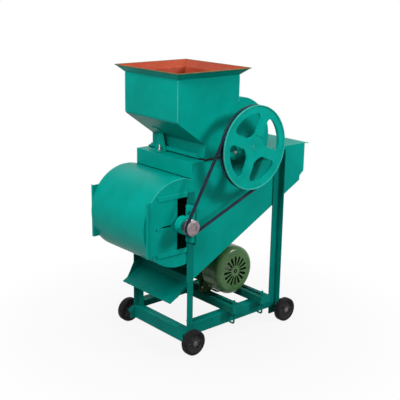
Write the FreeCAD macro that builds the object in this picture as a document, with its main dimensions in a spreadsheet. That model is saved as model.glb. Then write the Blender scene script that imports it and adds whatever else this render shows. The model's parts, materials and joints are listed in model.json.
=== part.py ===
import FreeCAD, Part
import math
import os
import Sketcher
from FreeCAD import Placement, Rotation, Vector

# Garlic bulb breaker: a hopper feeds bulbs to a rubber-faced drum over a bar
# screen, a fan blows the skins up a sloping duct, and the cloves slide down
# to a chute. Millimetres, +Z up, -Y is the side of the big belt wheel.
# Origin: on the floor under the middle of the whole machine.

doc = FreeCAD.newDocument("garlic_bulb_breaker")
sheet = doc.addObject("Spreadsheet::Sheet", "Sizes")

# Driving dimensions: alias, value in mm, degrees or a plain count
DIMENSIONS = [
    ("wheel_radius", 50), ("wheel_width", 28), ("wheel_side_gap", 21.5), ("wheel_bore_gap", 0.06),
    ("wheel_hub_inset", 6), ("wheel_hub_radius", 20), ("wheel_web_inset", 9),
    ("wheel_tyre", 14), ("wheel_edge", 4), ("axle_inset_left", 2), ("axle_inset_right", 15),
    ("axle_pin_radius", 8),
    ("axle_shoulder", 2.5), ("axle_head", 4), ("axle_head_wall", 4), ("end_rail_inset", 19.5),
    ("axle_plate_wall", 6),
    ("axle_plate_bottom", 28.5), ("axle_plate_edge", 22), ("axle_plate_left_length", 57),
    ("axle_plate_right_length", 72),
    ("frame_half_width", 171.5), ("angle_wall", 4), ("leg_bottom", 61),
    ("left_leg_edge", -227), ("left_leg_width", 28), ("left_leg_reach", 114),
    ("right_leg_edge", 225), ("right_leg_width", 45), ("right_leg_fin", 19), ("right_leg_drop", 4),
    ("rail_height", 48), ("rail_flange", 40), ("end_rail_height", 51.5), ("end_rail_flange", 36),
    ("plate_wall", 2.5), ("duct_start", -196), ("duct_start_height", 290.5), ("duct_slope", 0.52),
    ("duct_end", 385), ("outlet_edge", 408), ("outlet_step", 18), ("outlet_height", 116),
    ("body_top", 746), ("throat_edge", -210), ("throat_bottom_rise", 162), ("throat_corner_rise", 126),
    ("plate_corner_rise", 10), ("lip_reach", 24), ("lip_drop", 3), ("weld_gap", 0.3),
    ("casing_edge", -139), ("neck_height", 52.5), ("gasket_wall", 3),
    ("casing_flange", 10.5), ("hood_shift", 8), ("hood_rise", 15), ("hood_radius", 167.5),
    ("seam_rise", 14), ("casing_hole", 20), ("cover_lap", 3),
    ("hopper_edge", -272), ("hopper_right", 30), ("hopper_slope_height", 94), ("hopper_wall_height", 155),
    ("hopper_bend", 16),
    ("rim_height", 27), ("rim_spread_side", 33), ("rim_spread_left", 26), ("rim_spread_right", 30),
    ("drum_axis", 38), ("drum_axis_rise", 40), ("shaft_radius", 12.5),
    ("spider_radius", 92), ("spider_wall", 6), ("spider_inset", 41), ("hub_radius", 26),
    ("hub_length", 34),
    ("bar_count", 6), ("bar_depth", 22), ("bar_wall", 10), ("bar_inset", 8.5),
    ("bar_start_angle", 30),
    ("pad_depth", 8), ("pad_lap", 6), ("shaft_end_reach", 8), ("shaft_inset", 3),
    ("screen_radius", 146), ("screen_rod_radius", 4), ("screen_rods", 17), ("screen_strap", 6),
    ("screen_strap_half", 8), ("screen_start", 204), ("screen_sweep", 132), ("screen_top_gap", 6),
    ("fan_drop", 260), ("bearing_rise", 36.5), ("fan_shell_radius", 168.5),
    ("fan_blade_radius", 148),
    ("fan_blade_inset", 17.5), ("fan_blade_wall", 2.5), ("fan_blades", 4), ("fan_blade_depth", 80),
    ("fan_arm_wall", 6), ("fan_arm_width", 16), ("fan_arm_shift", 70), ("fan_arm_inset", 12),
    ("fan_lap", -200), ("fan_shell_end", -205),
    ("inlet_left", -345), ("inlet_half_height", 100), ("inlet_inset", 3), ("shutter_left", -422),
    ("shutter_shaft_gap", 2),
    ("shutter_half_height", 104), ("shutter_wall", 2), ("shutter_slot_start", -372),
    ("shutter_slot_end", -306),
    ("shutter_slot_height", 6), ("clamp_radius", 2.5), ("clamp_head_radius", 6), ("clamp_head_wall", 4),
    ("shutter_lip", 10), ("slide_gap", 0.3), ("guide_height", 12), ("guide_lap", 6), ("guide_wall", 2),
    ("guide_overrun", 25),
    ("seat_wall", 5), ("seat_half_height", 82), ("bearing_length", 140), ("bearing_width", 38),
    ("bearing_foot", 15), ("bearing_bolts", 105), ("bearing_bolt_head", 9), ("bearing_bolt_wall", 8),
    ("bearing_cheek", 29), ("bearing_ring", 34),
    ("bearing_insert", 20), ("bearing_insert_step", 3), ("bearing_gap", 0.05),     ("beam_left", -47), ("beam_depth", 40), ("beam_out", 40),
    ("pulley_gap", 12), ("hub_gap", 1), ("pulley_step", 6), ("pulley_width", 25), ("pulley_boss", 0.5),
    ("belt_top_width", 13),
    ("belt_bottom_width", 8.5), ("belt_height", 8), ("belt_gap", 0.9), ("groove_spare", 3),
    ("drum_pulley_pitch", 158), ("fan_pulley_pitch", 26), ("fan_drive_pitch", 42),
    ("motor_pulley_pitch", 38),
    ("pulley_rim", 4), ("pulley_rim_wall", 5), ("pulley_web", 9), ("pulley_recess", 3),
    ("pulley_hub_radius", 30),
    ("pulley_windows", 4), ("window_outer", 131), ("window_inner", 48), ("window_corner", 12),
    ("spoke_half_width", 21), ("window_angle", 22),
    ("drive_hub_radius", 24), ("fan_hub_inset", 10),
    ("motor_axis", 85), ("motor_size", 100), ("motor_cover_end", -108), ("motor_cover_stand", 2),
    ("motor_cover_length", 88), ("motor_cover_wall", 2.5), ("motor_cover_round", 24), ("motor_radius", 82),
    ("motor_shell_wall", 8), ("motor_fin_height", 12), ("motor_fins", 20), ("motor_fin_wall", 3.5),
    ("motor_body_start", -26), ("motor_body_length", 182), ("shield_length", 26), ("shield_wall", 10),
    ("shield_hub_wall", 22),
    ("grille_slots", 16), ("grille_inner", 24), ("grille_outer", 62), ("grille_slot_width", 7),
    ("motor_shaft_radius", 14), ("rotor_gap", 18), ("rotor_inset", 30), ("motor_fan_reach", 78),
    ("motor_fan_hub", 26), ("motor_fan_width", 20), ("motor_fan_gap", 8), ("motor_fan_blades", 8),
    ("motor_blade_wall", 3),
    ("foot_spread", 160), ("foot_pitch", 140), ("foot_centre", 65), ("foot_wall", 12), ("foot_length", 40),
    ("foot_width", 29), ("foot_rib", 4), ("foot_rib_top", 50), ("foot_rib_end", 14), ("foot_hole_gap", 0.5),
    ("terminal_box_height", 40), ("terminal_box_width", 90), ("terminal_box_length", 90),
    ("terminal_lid_wall", 5), ("terminal_lid_lap", 3), ("gland_radius", 10), ("gland_bore", 5),
    ("gland_length", 24), ("gland_seat", 7), ("gland_drop", 20),
    ("motor_rail_width", 50), ("motor_rail_height", 31), ("motor_rail_wall", 4), ("motor_rail_reach", 36.5),
    ("rail_slot_width", 13), ("rail_slot_inset", 12), ("foot_bolt_radius", 5.5), ("bolt_head_lap", 4),
    ("foot_bolt_head", 8), ("hook_bolt_radius", 4), ("hook_bolt_reach", 18.5), ("hook_bolt_top", 18),
    ("hook_nut", 7), ("hook_drop", 8), ("hook_toe", 14), ("hook_toe_inset", 0.6),
    ("chute_lip", -296), ("chute_fall", 81.5), ("chute_inset", 15.5), ("chute_wall", 2.5),
    ("chute_flange", 11), ("chute_slope", 0.52), ("chute_corner", 22), ("chute_corner_run", 12),
    ("chute_lip_rise", 13), ("chute_peak", -243), ("chute_peak_rise", 39), ("chute_end_rise", 26),
    ("gate_left", -161), ("gate_right", -133), ("gate_wall", 3), ("gate_inset", 9),
    ("gate_lip", 12),
    ("clip_lap", 8), ("gate_lip_gap", 2),
    ("stay_place", 72), ("stay_foot_width", 65), ("stay_top_width", 28), ("stay_wall", 4), ("stay_x", -163),
    ("stay_tab", 34), ("stay_bolt_place", 20), ("stay_bolt_spread", 15),
    ("bolt_head", 5), ("small_bolt_radius", 5.5),
]

for row, (alias, value) in enumerate(DIMENSIONS, start=1):
    sheet.set(f"A{row}", alias)
    sheet.set(f"B{row}", str(value))
    sheet.setAlias(f"B{row}", alias)
doc.recompute()


class Size:
    """A value together with the sheet formula that gives it."""

    def __init__(self, value, text):
        self.value = value
        self.text = text

    def __add__(self, other):
        other = size(other)
        return Size(self.value + other.value, f"({self.text} + {other.text})")

    def __sub__(self, other):
        other = size(other)
        return Size(self.value - other.value, f"({self.text} - {other.text})")

    def __mul__(self, other):
        other = size(other)
        return Size(self.value * other.value, f"({self.text} * {other.text})")

    def __truediv__(self, other):
        other = size(other)
        return Size(self.value / other.value, f"({self.text} / {other.text})")

    def __neg__(self):
        return Size(-self.value, f"(0 - {self.text})")

    def __radd__(self, other):
        return size(other) + self

    def __rsub__(self, other):
        return size(other) - self

    def __rmul__(self, other):
        return size(other) * self


def size(number):
    """A Size as it is, and a plain number as a constant Size."""
    if isinstance(number, Size):
        return number
    return Size(float(number), f"({number:.6f})")


def root(number):
    """The square root of a Size."""
    return Size(math.sqrt(number.value), f"sqrt({number.text})")


def cosine(angle):
    """The cosine of a Size in degrees."""
    angle = size(angle)
    return Size(math.cos(math.radians(angle.value)), f"cos({angle.text})")


def sine(angle):
    """The sine of a Size in degrees."""
    angle = size(angle)
    return Size(math.sin(math.radians(angle.value)), f"sin({angle.text})")


def slant(rise):
    """The angle in degrees of a slope that rises so much for each one across."""
    rise = size(rise)
    return Size(math.degrees(math.atan(rise.value)), f"(atan({rise.text}) / (1 deg))")


class Dimensions:
    """Reads a driving dimension by its alias."""

    def __getattr__(self, alias):
        return Size(float(sheet.get(alias)), f"Sizes.{alias}")


d = Dimensions()
nodes = []
body_bolts = []
AXIS_TURN = {
    "x": Rotation(Vector(0, 1, 0), 90),
    "y": Rotation(Vector(1, 0, 0), -90),
    "z": Rotation(),
}


def bind(item, prop, number):
    """Tie a property of a document object to the sheet."""
    item.setExpression(prop, size(number).text)


def bind_place(item, x, y, z, turn=None):
    """Put an object at x, y, z with a fixed turn."""
    x, y, z = size(x), size(y), size(z)
    item.Placement = Placement(Vector(x.value, y.value, z.value), turn or Rotation())
    bind(item, "Placement.Base.x", x)
    bind(item, "Placement.Base.y", y)
    bind(item, "Placement.Base.z", z)


def box(x, y, z):
    """A box between two values along each axis."""
    item = doc.addObject("Part::Box", "box")
    bind(item, "Length", size(x[1]) - x[0])
    bind(item, "Width", size(y[1]) - y[0])
    bind(item, "Height", size(z[1]) - z[0])
    bind_place(item, x[0], y[0], z[0])
    return item


def rod(axis, radius, start, end, across):
    """A cylinder along an axis, from start to end, at two values across it."""
    item = doc.addObject("Part::Cylinder", "rod")
    bind(item, "Radius", radius)
    return lay_along(item, axis, start, end, across)


def hexagon(axis, radius, start, end, across):
    """A hexagonal head or nut along an axis, radius to its corners."""
    item = doc.addObject("Part::Prism", "hexagon")
    item.Polygon = 6
    bind(item, "Circumradius", radius)
    return lay_along(item, axis, start, end, across)


def lay_along(item, axis, start, end, across):
    """Give a round or six-sided piece its height and its place along an axis."""
    bind(item, "Height", size(end) - start)
    places = {
        "x": (start, across[0], across[1]),
        "y": (across[0], start, across[1]),
        "z": (across[0], across[1], start),
    }
    bind_place(item, *places[axis], AXIS_TURN[axis])
    return item


def fuse(*items):
    """Several overlapping or touching solids made one."""
    item = doc.addObject("Part::MultiFuse", "fused")
    item.Shapes = list(items)
    item.Refine = True
    return item


def cut(base, *tools):
    """A solid less one or more others."""
    item = doc.addObject("Part::Cut", "cut")
    item.Base = base
    item.Tool = tools[0] if len(tools) == 1 else fuse(*tools)
    return item


def common(first, second):
    """What two solids share."""
    item = doc.addObject("Part::MultiCommon", "shared")
    item.Shapes = [first, second]
    return item


def group(*items):
    """Separate solids that make one node."""
    item = doc.addObject("Part::Compound", "group")
    item.Links = list(items)
    return item


def node(label, item):
    """Name a finished sub-part."""
    item.Label = label
    nodes.append(item)
    return item


def origin_plane(body, role):
    """An origin plane of a body, by its role."""
    for feature in body.Origin.OriginFeatures:
        if feature.Role == role:
            return feature
    raise ValueError(role)


def new_sketch(body, role):
    """An empty sketch on one of the body's own origin planes."""
    sketch = body.newObject("Sketcher::SketchObject", "sketch")
    sketch.AttachmentSupport = [(origin_plane(body, role), "")]
    sketch.MapMode = "FlatFace"
    return sketch


def pin_point(sketch, edge, place, across, up):
    """Fix one point of an edge at two distances from the sketch's origin."""
    for kind, number in (("DistanceX", across), ("DistanceY", up)):
        number = size(number)
        index = sketch.addConstraint(Sketcher.Constraint(kind, -1, 1, edge, place, number.value))
        sketch.setExpression(f"Constraints[{index}]", number.text)


def draw_loop(sketch, points):
    """A closed outline of straight edges through the given points."""
    points = [(size(a), size(b)) for a, b in points]
    first = sketch.GeometryCount
    count = len(points)
    for index in range(count):
        start, end = points[index], points[(index + 1) % count]
        ends = [Vector(across.value, up.value, 0) for across, up in (start, end)]
        sketch.addGeometry(Part.LineSegment(*ends), False)
    for index in range(count):
        following = first + (index + 1) % count
        sketch.addConstraint(Sketcher.Constraint("Coincident", first + index, 2, following, 1))
        pin_point(sketch, first + index, 1, *points[index])


def draw_circle(sketch, across, up, radius):
    """A circle with its centre and radius tied to the sheet."""
    across, up, radius = size(across), size(up), size(radius)
    circle = Part.Circle(Vector(across.value, up.value, 0), Vector(0, 0, 1), radius.value)
    edge = sketch.addGeometry(circle, False)
    pin_point(sketch, edge, 3, across, up)
    index = sketch.addConstraint(Sketcher.Constraint("Radius", edge, radius.value))
    sketch.setExpression(f"Constraints[{index}]", radius.text)


def plate(outline, thickness, far_face, role="XZ_Plane", holes=()):
    """A flat part: an outline in XZ, XY or YZ, padded back from its far face."""
    body = doc.addObject("PartDesign::Body", "plate")
    sketch = new_sketch(body, role)
    draw_loop(sketch, outline)
    for across, up, radius in holes:
        draw_circle(sketch, across, up, radius)
    pad = body.newObject("PartDesign::Pad", "pad")
    pad.Profile = sketch
    bind(pad, "Length", thickness)
    body.Tip = pad
    shift = {"XZ_Plane": (0, far_face, 0), "XY_Plane": (0, 0, far_face), "YZ_Plane": (far_face, 0, 0)}
    bind_place(body, *shift[role])
    sketch.Visibility = False
    return body


def turned(profile, x, y, z, turn=None):
    """A part of revolution about its own Y axis: (radius, place along the axis) points."""
    body = doc.addObject("PartDesign::Body", "turned")
    sketch = new_sketch(body, "XY_Plane")
    draw_loop(sketch, profile)
    spin = body.newObject("PartDesign::Revolution", "spin")
    spin.Profile = sketch
    spin.ReferenceAxis = (sketch, ["V_Axis"])
    spin.Angle = 360
    body.Tip = spin
    bind_place(body, x, y, z, turn)
    return body


def polar(body, feature, count):
    """Repeat a feature of a body evenly round its own Y axis."""
    pattern = body.newObject("PartDesign::PolarPattern", "pattern")
    pattern.Originals = [feature]
    pattern.Axis = (origin_plane(body, "Y_Axis"), [""])
    pattern.Angle = 360
    bind(pattern, "Occurrences", count)
    body.Tip = pattern
    return pattern


def pocket_through(body, sketch):
    """Cut a sketch on the XZ plane through all of a body, both ways."""
    pocket = body.newObject("PartDesign::Pocket", "pocket")
    pocket.Profile = sketch
    pocket.Type = 1
    pocket.Midplane = True
    body.Tip = pocket
    return pocket


# How far a cutter runs past what it cuts, and the straight steps of a bend
OVERRUN = 1
BEND_STEPS = 4

NEAR, FAR = -1, 1
SIDES = (("near", NEAR), ("far", FAR))


def span(side, inner, outer):
    """The lower and upper Y of a stretch that lies between two distances on one side."""
    if side == NEAR:
        return (-size(outer), -size(inner))
    return (size(inner), size(outer))


# Places that several parts share
rail_top = d.leg_bottom + d.rail_height
end_rail_top = d.axle_plate_bottom + d.end_rail_height
plate_outer = d.frame_half_width - d.angle_wall
plate_inner = plate_outer - d.plate_wall
fan_plate_inner = plate_inner - d.plate_wall
body_left = d.left_leg_edge
top_face = d.body_top + d.plate_wall
gasket_top = top_face + d.gasket_wall
right_leg_top = d.body_top - d.right_leg_drop
outlet_bottom = d.body_top - d.outlet_height
casing_half_width = plate_outer - d.casing_flange
casing_inner = casing_half_width - d.plate_wall
gate_half_length = casing_half_width - d.gate_inset
bar_half_length = casing_inner - d.bar_inset
spider_offset = bar_half_length - d.spider_inset
drum_axis_height = d.body_top + d.drum_axis_rise
hood_axis = d.drum_axis - d.hood_shift
hood_axis_height = drum_axis_height + d.hood_rise
neck_top = gasket_top + d.neck_height
seam_height = neck_top + d.seam_rise
hopper_shoulder = neck_top + d.hopper_slope_height
hopper_wall_top = hopper_shoulder + d.hopper_wall_height
beam_top = drum_axis_height - d.bearing_rise
fan_axis = d.left_leg_edge - d.bearing_rise
fan_axis_height = drum_axis_height - d.fan_drop
fan_blade_half_length = fan_plate_inner - d.fan_blade_inset
fan_arm_place = fan_blade_half_length - d.fan_arm_shift
throat_bottom = fan_axis_height + d.throat_bottom_rise
throat_corner = fan_axis_height + d.throat_corner_rise
left_leg_top = fan_axis_height + d.left_leg_reach
chute_half_width = plate_outer - d.chute_inset
chute_lip_height = d.duct_start_height - d.chute_fall
bearing_centre = d.frame_half_width + d.bearing_width / 2
bearing_face = bearing_centre + d.bearing_width / 2
axle_left = d.left_leg_edge + d.axle_inset_left
axle_right = d.right_leg_edge + d.right_leg_width + d.axle_inset_right
end_left = d.left_leg_edge
end_right = axle_right + d.axle_plate_edge - d.end_rail_inset
wheel_inner_face = d.frame_half_width + d.wheel_side_gap
wheel_outer_face = wheel_inner_face + d.wheel_width
belt_plane = bearing_face + d.pulley_gap + d.pulley_width / 2
pulley_end = belt_plane + d.pulley_width / 2 + d.pulley_boss
shaft_end = pulley_end - d.shaft_inset
motor_foot = rail_top + d.motor_rail_height
motor_axis_height = motor_foot + d.motor_size
motor_rail_end = d.frame_half_width + d.motor_rail_reach
hook_bolt_place = d.frame_half_width + d.hook_bolt_reach
motor_cover_radius = d.motor_size + d.motor_cover_stand
shutter_right = fan_axis - d.shaft_radius - d.shutter_shaft_gap
slope_fall = (hopper_shoulder - neck_top) / (d.casing_edge - d.hopper_edge)
slope_stretch = root(slope_fall * slope_fall + 1)


def duct_height(x):
    """Height of the duct's lower edge at x."""
    return d.duct_start_height + d.duct_slope * (size(x) - d.duct_start)


def tray_height(x):
    """Height of the clove chute's underside at x."""
    return chute_lip_height + d.chute_slope * (size(x) - d.chute_lip)


def slope_height(x):
    """Height of the hopper's sloping wall, outside, at x."""
    return hopper_shoulder - slope_fall * (size(x) - d.hopper_edge)


def casing_right():
    """Where the round hood meets the gasket, on the outlet side."""
    rise = hood_axis_height - gasket_top
    return hood_axis + root(d.hood_radius * d.hood_radius - rise * rise)


def seam_left():
    """Where the sloping wall reaches the height of the casing's seam."""
    return d.hopper_edge + (hopper_shoulder - seam_height) / slope_fall


def ordered(first, second):
    """Two places in rising order."""
    return sorted((size(first), size(second)), key=lambda item: item.value)


# Frame: angle-iron legs and rails
def make_frame():
    left_end = d.left_leg_edge + d.left_leg_width
    right_end = d.right_leg_edge + d.right_leg_width
    for name, side in SIDES:
        leg_web = span(side, plate_outer, d.frame_half_width)
        inward = span(side, plate_outer - d.left_leg_width, plate_outer)
        flat = box((d.left_leg_edge, left_end), leg_web, (d.leg_bottom, left_leg_top))
        web = box((left_end - d.angle_wall, left_end), inward,
                  (end_rail_top, tray_height(left_end - d.angle_wall)))
        node(f"leg_left_{name}", fuse(flat, web))
        flat = box((d.right_leg_edge, right_end), leg_web, (d.leg_bottom, right_leg_top))
        outward = span(side, d.frame_half_width, d.frame_half_width + d.right_leg_fin)
        fin = box((right_end - d.angle_wall, right_end), outward, (d.leg_bottom, right_leg_top))
        node(f"leg_right_{name}", fuse(flat, fin))
        upright = box((left_end, d.right_leg_edge), leg_web, (d.leg_bottom, rail_top))
        flange_in = span(side, d.frame_half_width - d.rail_flange, plate_outer)
        flange = box((left_end, d.right_leg_edge), flange_in, (rail_top - d.angle_wall, rail_top))
        node(f"base_rail_{name}", fuse(upright, flange))
    half = plate_outer - d.axle_plate_wall
    heights = (d.axle_plate_bottom, end_rail_top)
    cap = (end_rail_top - d.angle_wall, end_rail_top)
    upright = box((end_left, end_left + d.angle_wall), (-half, half), heights)
    flange = box((end_left + d.angle_wall, end_left + d.end_rail_flange), (-half, half), cap)
    left_rail = fuse(upright, flange)
    upright = box((end_right - d.angle_wall, end_right), (-half, half), heights)
    flange = box((end_right - d.end_rail_flange, end_right - d.angle_wall), (-half, half), cap)
    node("end_rails", group(left_rail, fuse(upright, flange)))


# Wheels on stub axles: a recessed web between the hub and a chamfered tread
def make_wheels():
    axles = []
    nuts = []
    hub_face = wheel_outer_face - d.wheel_hub_inset
    nut_face = hub_face + d.slide_gap
    bore = d.axle_pin_radius + d.wheel_bore_gap
    half = d.wheel_width / 2
    hub = half - d.wheel_hub_inset
    web = half - d.wheel_web_inset
    rim = d.wheel_radius - d.wheel_tyre
    flank = [
        (bore, hub), (d.wheel_hub_radius, hub), (d.wheel_hub_radius, web), (rim, web),
        (d.wheel_radius - d.wheel_edge, half), (d.wheel_radius, half - d.wheel_edge),
    ]
    profile = flank + [(radius, -place) for radius, place in reversed(flank)]
    left_start = axle_left - d.axle_plate_edge
    right_end = axle_right + d.axle_plate_edge
    for name, side in SIDES:
        plate_y = span(side, plate_outer - d.axle_plate_wall, plate_outer)
        for end, axle, x_range in (
            ("left", axle_left, (left_start, left_start + d.axle_plate_left_length)),
            ("right", axle_right, (right_end - d.axle_plate_right_length, right_end)),
        ):
            centre = (axle, d.wheel_radius)
            lug = box(x_range, plate_y, (d.axle_plate_bottom, end_rail_top))
            shoulder = rod("y", d.axle_pin_radius + d.axle_shoulder,
                           *span(side, plate_outer, wheel_inner_face + d.wheel_hub_inset - d.slide_gap), centre)
            pin = rod("y", d.axle_pin_radius, *span(side, plate_outer, nut_face), centre)
            axles.append(fuse(lug, shoulder, pin))
            nuts.append(hexagon("y", d.axle_pin_radius + d.axle_head,
                                *span(side, nut_face, nut_face + d.axle_head_wall), centre))
            middle = (wheel_outer_face - half) * side
            node(f"wheel_{end}_{name}", turned(profile, axle, middle, d.wheel_radius))
    node("stub_axles", group(*axles))
    node("axle_nuts", group(*nuts))


# Sheet-metal body: side plates, duct floor and top plates
def make_body():
    start_height = duct_height(d.duct_start)
    end_height = duct_height(d.duct_end)
    step_height = end_height + d.outlet_step
    outline = [
        (body_left, duct_height(body_left) + d.plate_corner_rise), (d.duct_start, start_height),
        (d.duct_end, end_height), (d.duct_end, step_height),
        (d.outlet_edge, outlet_bottom), (d.outlet_edge, d.body_top), (d.throat_edge, d.body_top),
        (d.throat_edge, throat_bottom), (body_left, throat_corner),
    ]
    node("side_plate_near", plate(outline, d.plate_wall, -plate_inner))
    node("side_plate_far", plate(outline, d.plate_wall, plate_outer))
    run = [
        (d.duct_start, start_height), (d.duct_end, end_height),
        (d.duct_end, end_height + d.plate_wall), (d.duct_start, start_height + d.plate_wall),
    ]
    floor = plate(run, plate_inner * 2, plate_inner)
    hem = box((d.duct_end - d.plate_wall, d.duct_end), (-plate_inner, plate_inner), (end_height, step_height))
    node("duct_floor", fuse(floor, hem))
    seam = casing_right() + d.cover_lap
    top = box((d.throat_edge, seam), (-plate_outer, plate_outer), (d.body_top, top_face))
    end = box((d.throat_edge, d.throat_edge + d.plate_wall), (-plate_inner, plate_inner),
              (throat_bottom, d.body_top))
    mouth = box((d.casing_edge + d.plate_wall, casing_right() - d.plate_wall), (-casing_inner, casing_inner),
                (d.body_top - OVERRUN, top_face + OVERRUN))
    node("throat_cover", cut(fuse(top, end), mouth))
    lip_end = d.outlet_edge + d.lip_reach
    cover = [
        (seam, d.body_top), (d.outlet_edge, d.body_top), (lip_end, d.body_top - d.lip_drop),
        (lip_end, top_face - d.lip_drop), (d.outlet_edge, top_face), (seam, top_face),
    ]
    node("outlet_cover", plate(cover, plate_outer * 2, plate_outer))


# Clove chute: a low flange on the near side and a raised wall on the far one
def make_chute():
    wall = d.chute_wall
    end = d.duct_start

    def above(x, rise):
        return (x, tray_height(x) + wall + rise)

    base = plate([(d.chute_lip, tray_height(d.chute_lip)), (end, tray_height(end)), above(end, 0),
                  above(d.chute_lip, 0)], chute_half_width * 2, chute_half_width)
    start = d.chute_lip + d.chute_corner
    low = plate([above(start, 0), above(end, 0), above(end, d.chute_flange),
                 above(start + d.chute_corner_run, d.chute_flange)], wall, wall - chute_half_width)
    high = plate([above(start, 0), above(end, 0), above(end, d.chute_end_rise),
                  above(d.chute_peak, d.chute_peak_rise), above(start + d.chute_corner_run, d.chute_lip_rise)],
                 wall, chute_half_width)
    riser = box((end - wall, end), (-chute_half_width, chute_half_width),
                (tray_height(end), d.duct_start_height + d.plate_wall))
    node("clove_chute", fuse(base, riser, low, high))


# Drum casing: round hood with its end plates, base flange and gasket
def make_casing():
    right = casing_right()
    centre = (hood_axis, hood_axis_height)
    hood_box = ((d.hopper_right, hood_axis + d.hood_radius), (gasket_top, hood_axis_height + d.hood_radius))
    ends = []
    flanges = []
    for name, side in SIDES:
        wall = span(side, casing_inner, casing_half_width)
        disc = rod("y", d.hood_radius, *wall, centre)
        round_part = common(disc, box(hood_box[0], wall, hood_box[1]))
        low = plate([(d.casing_edge, gasket_top), (d.hopper_right, gasket_top),
                     (d.hopper_right, seam_height), (seam_left(), seam_height), (d.casing_edge, neck_top)],
                    d.plate_wall, wall[1])
        shaft_hole = rod("y", d.casing_hole, wall[0] - OVERRUN, wall[1] + OVERRUN,
                         (d.drum_axis, drum_axis_height))
        ends.append(cut(fuse(round_part, low), shaft_hole))
        flanges.append(box((d.casing_edge, right), span(side, casing_half_width, plate_outer),
                           (gasket_top, gasket_top + d.plate_wall)))
    wall = (-casing_inner, casing_inner)
    ring = cut(rod("y", d.hood_radius, *wall, centre), rod("y", d.hood_radius - d.plate_wall, *wall, centre))
    hood = common(ring, box(hood_box[0], wall, hood_box[1]))
    slit_top = gasket_top + d.plate_wall + d.gate_wall + d.slide_gap * 2
    neck = box((d.casing_edge, d.casing_edge + d.plate_wall), wall, (slit_top, neck_top))
    edge = box((d.casing_edge - d.casing_flange, d.casing_edge + d.plate_wall),
               (-casing_half_width, casing_half_width), (gasket_top, gasket_top + d.plate_wall))
    node("drum_casing", fuse(*ends, *flanges, hood, neck, edge))
    across = (-plate_outer, plate_outer)
    outer = box((d.casing_edge - d.casing_flange, right), across, (top_face, gasket_top))
    inner = box((d.casing_edge + d.plate_wall, right - d.plate_wall), (-casing_inner, casing_inner),
                (top_face - OVERRUN, gasket_top + OVERRUN))
    node("casing_gasket", cut(outer, inner))


# Hopper: straight walls, one bent into a slope, and a flared rim
def frustum(inset):
    """The flared rim's solid, its outline moved in by inset."""
    item = doc.addObject("Part::Wedge", "frustum")
    bind(item, "Xmin", d.hopper_edge + inset)
    bind(item, "Xmax", d.hopper_right - inset)
    bind(item, "Zmin", -(casing_half_width - inset))
    bind(item, "Zmax", casing_half_width - inset)
    bind(item, "X2min", d.hopper_edge - d.rim_spread_left + inset)
    bind(item, "X2max", d.hopper_right + d.rim_spread_right - inset)
    bind(item, "Z2min", -(casing_half_width + d.rim_spread_side - inset))
    bind(item, "Z2max", casing_half_width + d.rim_spread_side - inset)
    bind(item, "Ymin", 0)
    bind(item, "Ymax", d.rim_height)
    bind_place(item, 0, 0, hopper_wall_top, Rotation(Vector(1, 0, 0), 90))
    return item


def shoulder_bend(radius):
    """The bend from the upright wall into the slope, at a radius about the bend's centre."""
    drop = d.hopper_bend * root((slope_stretch - slope_fall) / (slope_stretch + slope_fall))
    turn = 90 - slant(slope_fall)
    points = []
    for step in range(BEND_STEPS + 1):
        angle = 180 + turn * (step / BEND_STEPS)
        points.append((d.hopper_edge + d.hopper_bend + cosine(angle) * radius,
                       hopper_shoulder + drop + sine(angle) * radius))
    return points


def make_hopper():
    top = hopper_wall_top
    wall = d.plate_wall
    outer_bend = shoulder_bend(d.hopper_bend)
    inner_bend = shoulder_bend(d.hopper_bend - wall)
    sides = []
    for name, side in SIDES:
        faces = span(side, casing_inner, casing_half_width)
        outline = [(d.hopper_edge, top)] + outer_bend + [
            (seam_left(), seam_height), (d.hopper_right, seam_height), (d.hopper_right, top)]
        sides.append(plate(outline, wall, faces[1]))
    slope = plate([(d.hopper_edge, top)] + outer_bend
                  + [(d.casing_edge, neck_top), (d.casing_edge, neck_top + wall * slope_stretch)]
                  + inner_bend[::-1] + [(d.hopper_edge + wall, top)],
                  casing_inner * 2, casing_inner)
    aside = d.hopper_right - hood_axis
    hood_top = hood_axis_height + root(d.hood_radius * d.hood_radius - aside * aside)
    across = (-casing_inner, casing_inner)
    right = box((d.hopper_right - wall, d.hopper_right), across, (hood_top - wall, top))
    rim = cut(frustum(size(0)), frustum(wall))
    node("hopper", fuse(*sides, slope, right, rim))


# Stay that carries the hopper's sloping wall on the body
def make_stay():
    x = d.stay_x
    wall = d.stay_wall
    foot = d.stay_foot_width / 2
    top = d.stay_top_width / 2
    low = x - d.stay_tab
    web = plate([(d.stay_place - foot, top_face + wall), (d.stay_place + foot, top_face + wall),
                 (d.stay_place + top, slope_height(x) - wall), (d.stay_place - top, slope_height(x) - wall)],
                wall, x - wall, "YZ_Plane")
    foot_tab = box((low, x), (d.stay_place - foot, d.stay_place + foot), (top_face, top_face + wall))
    drop = d.weld_gap + wall * slope_stretch
    tab = plate([(low, slope_height(low) - d.weld_gap), (x, slope_height(x) - d.weld_gap),
                 (x, slope_height(x) - drop), (low, slope_height(low) - drop)],
                top * 2, d.stay_place + top)
    node("hopper_stay", fuse(web, foot_tab, tab))
    for way in (-1, 1):
        body_bolts.append(hexagon("z", d.small_bolt_radius, top_face + wall, top_face + wall + d.bolt_head,
                                  (x - d.stay_bolt_place, d.stay_place + d.stay_bolt_spread * way)))


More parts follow.
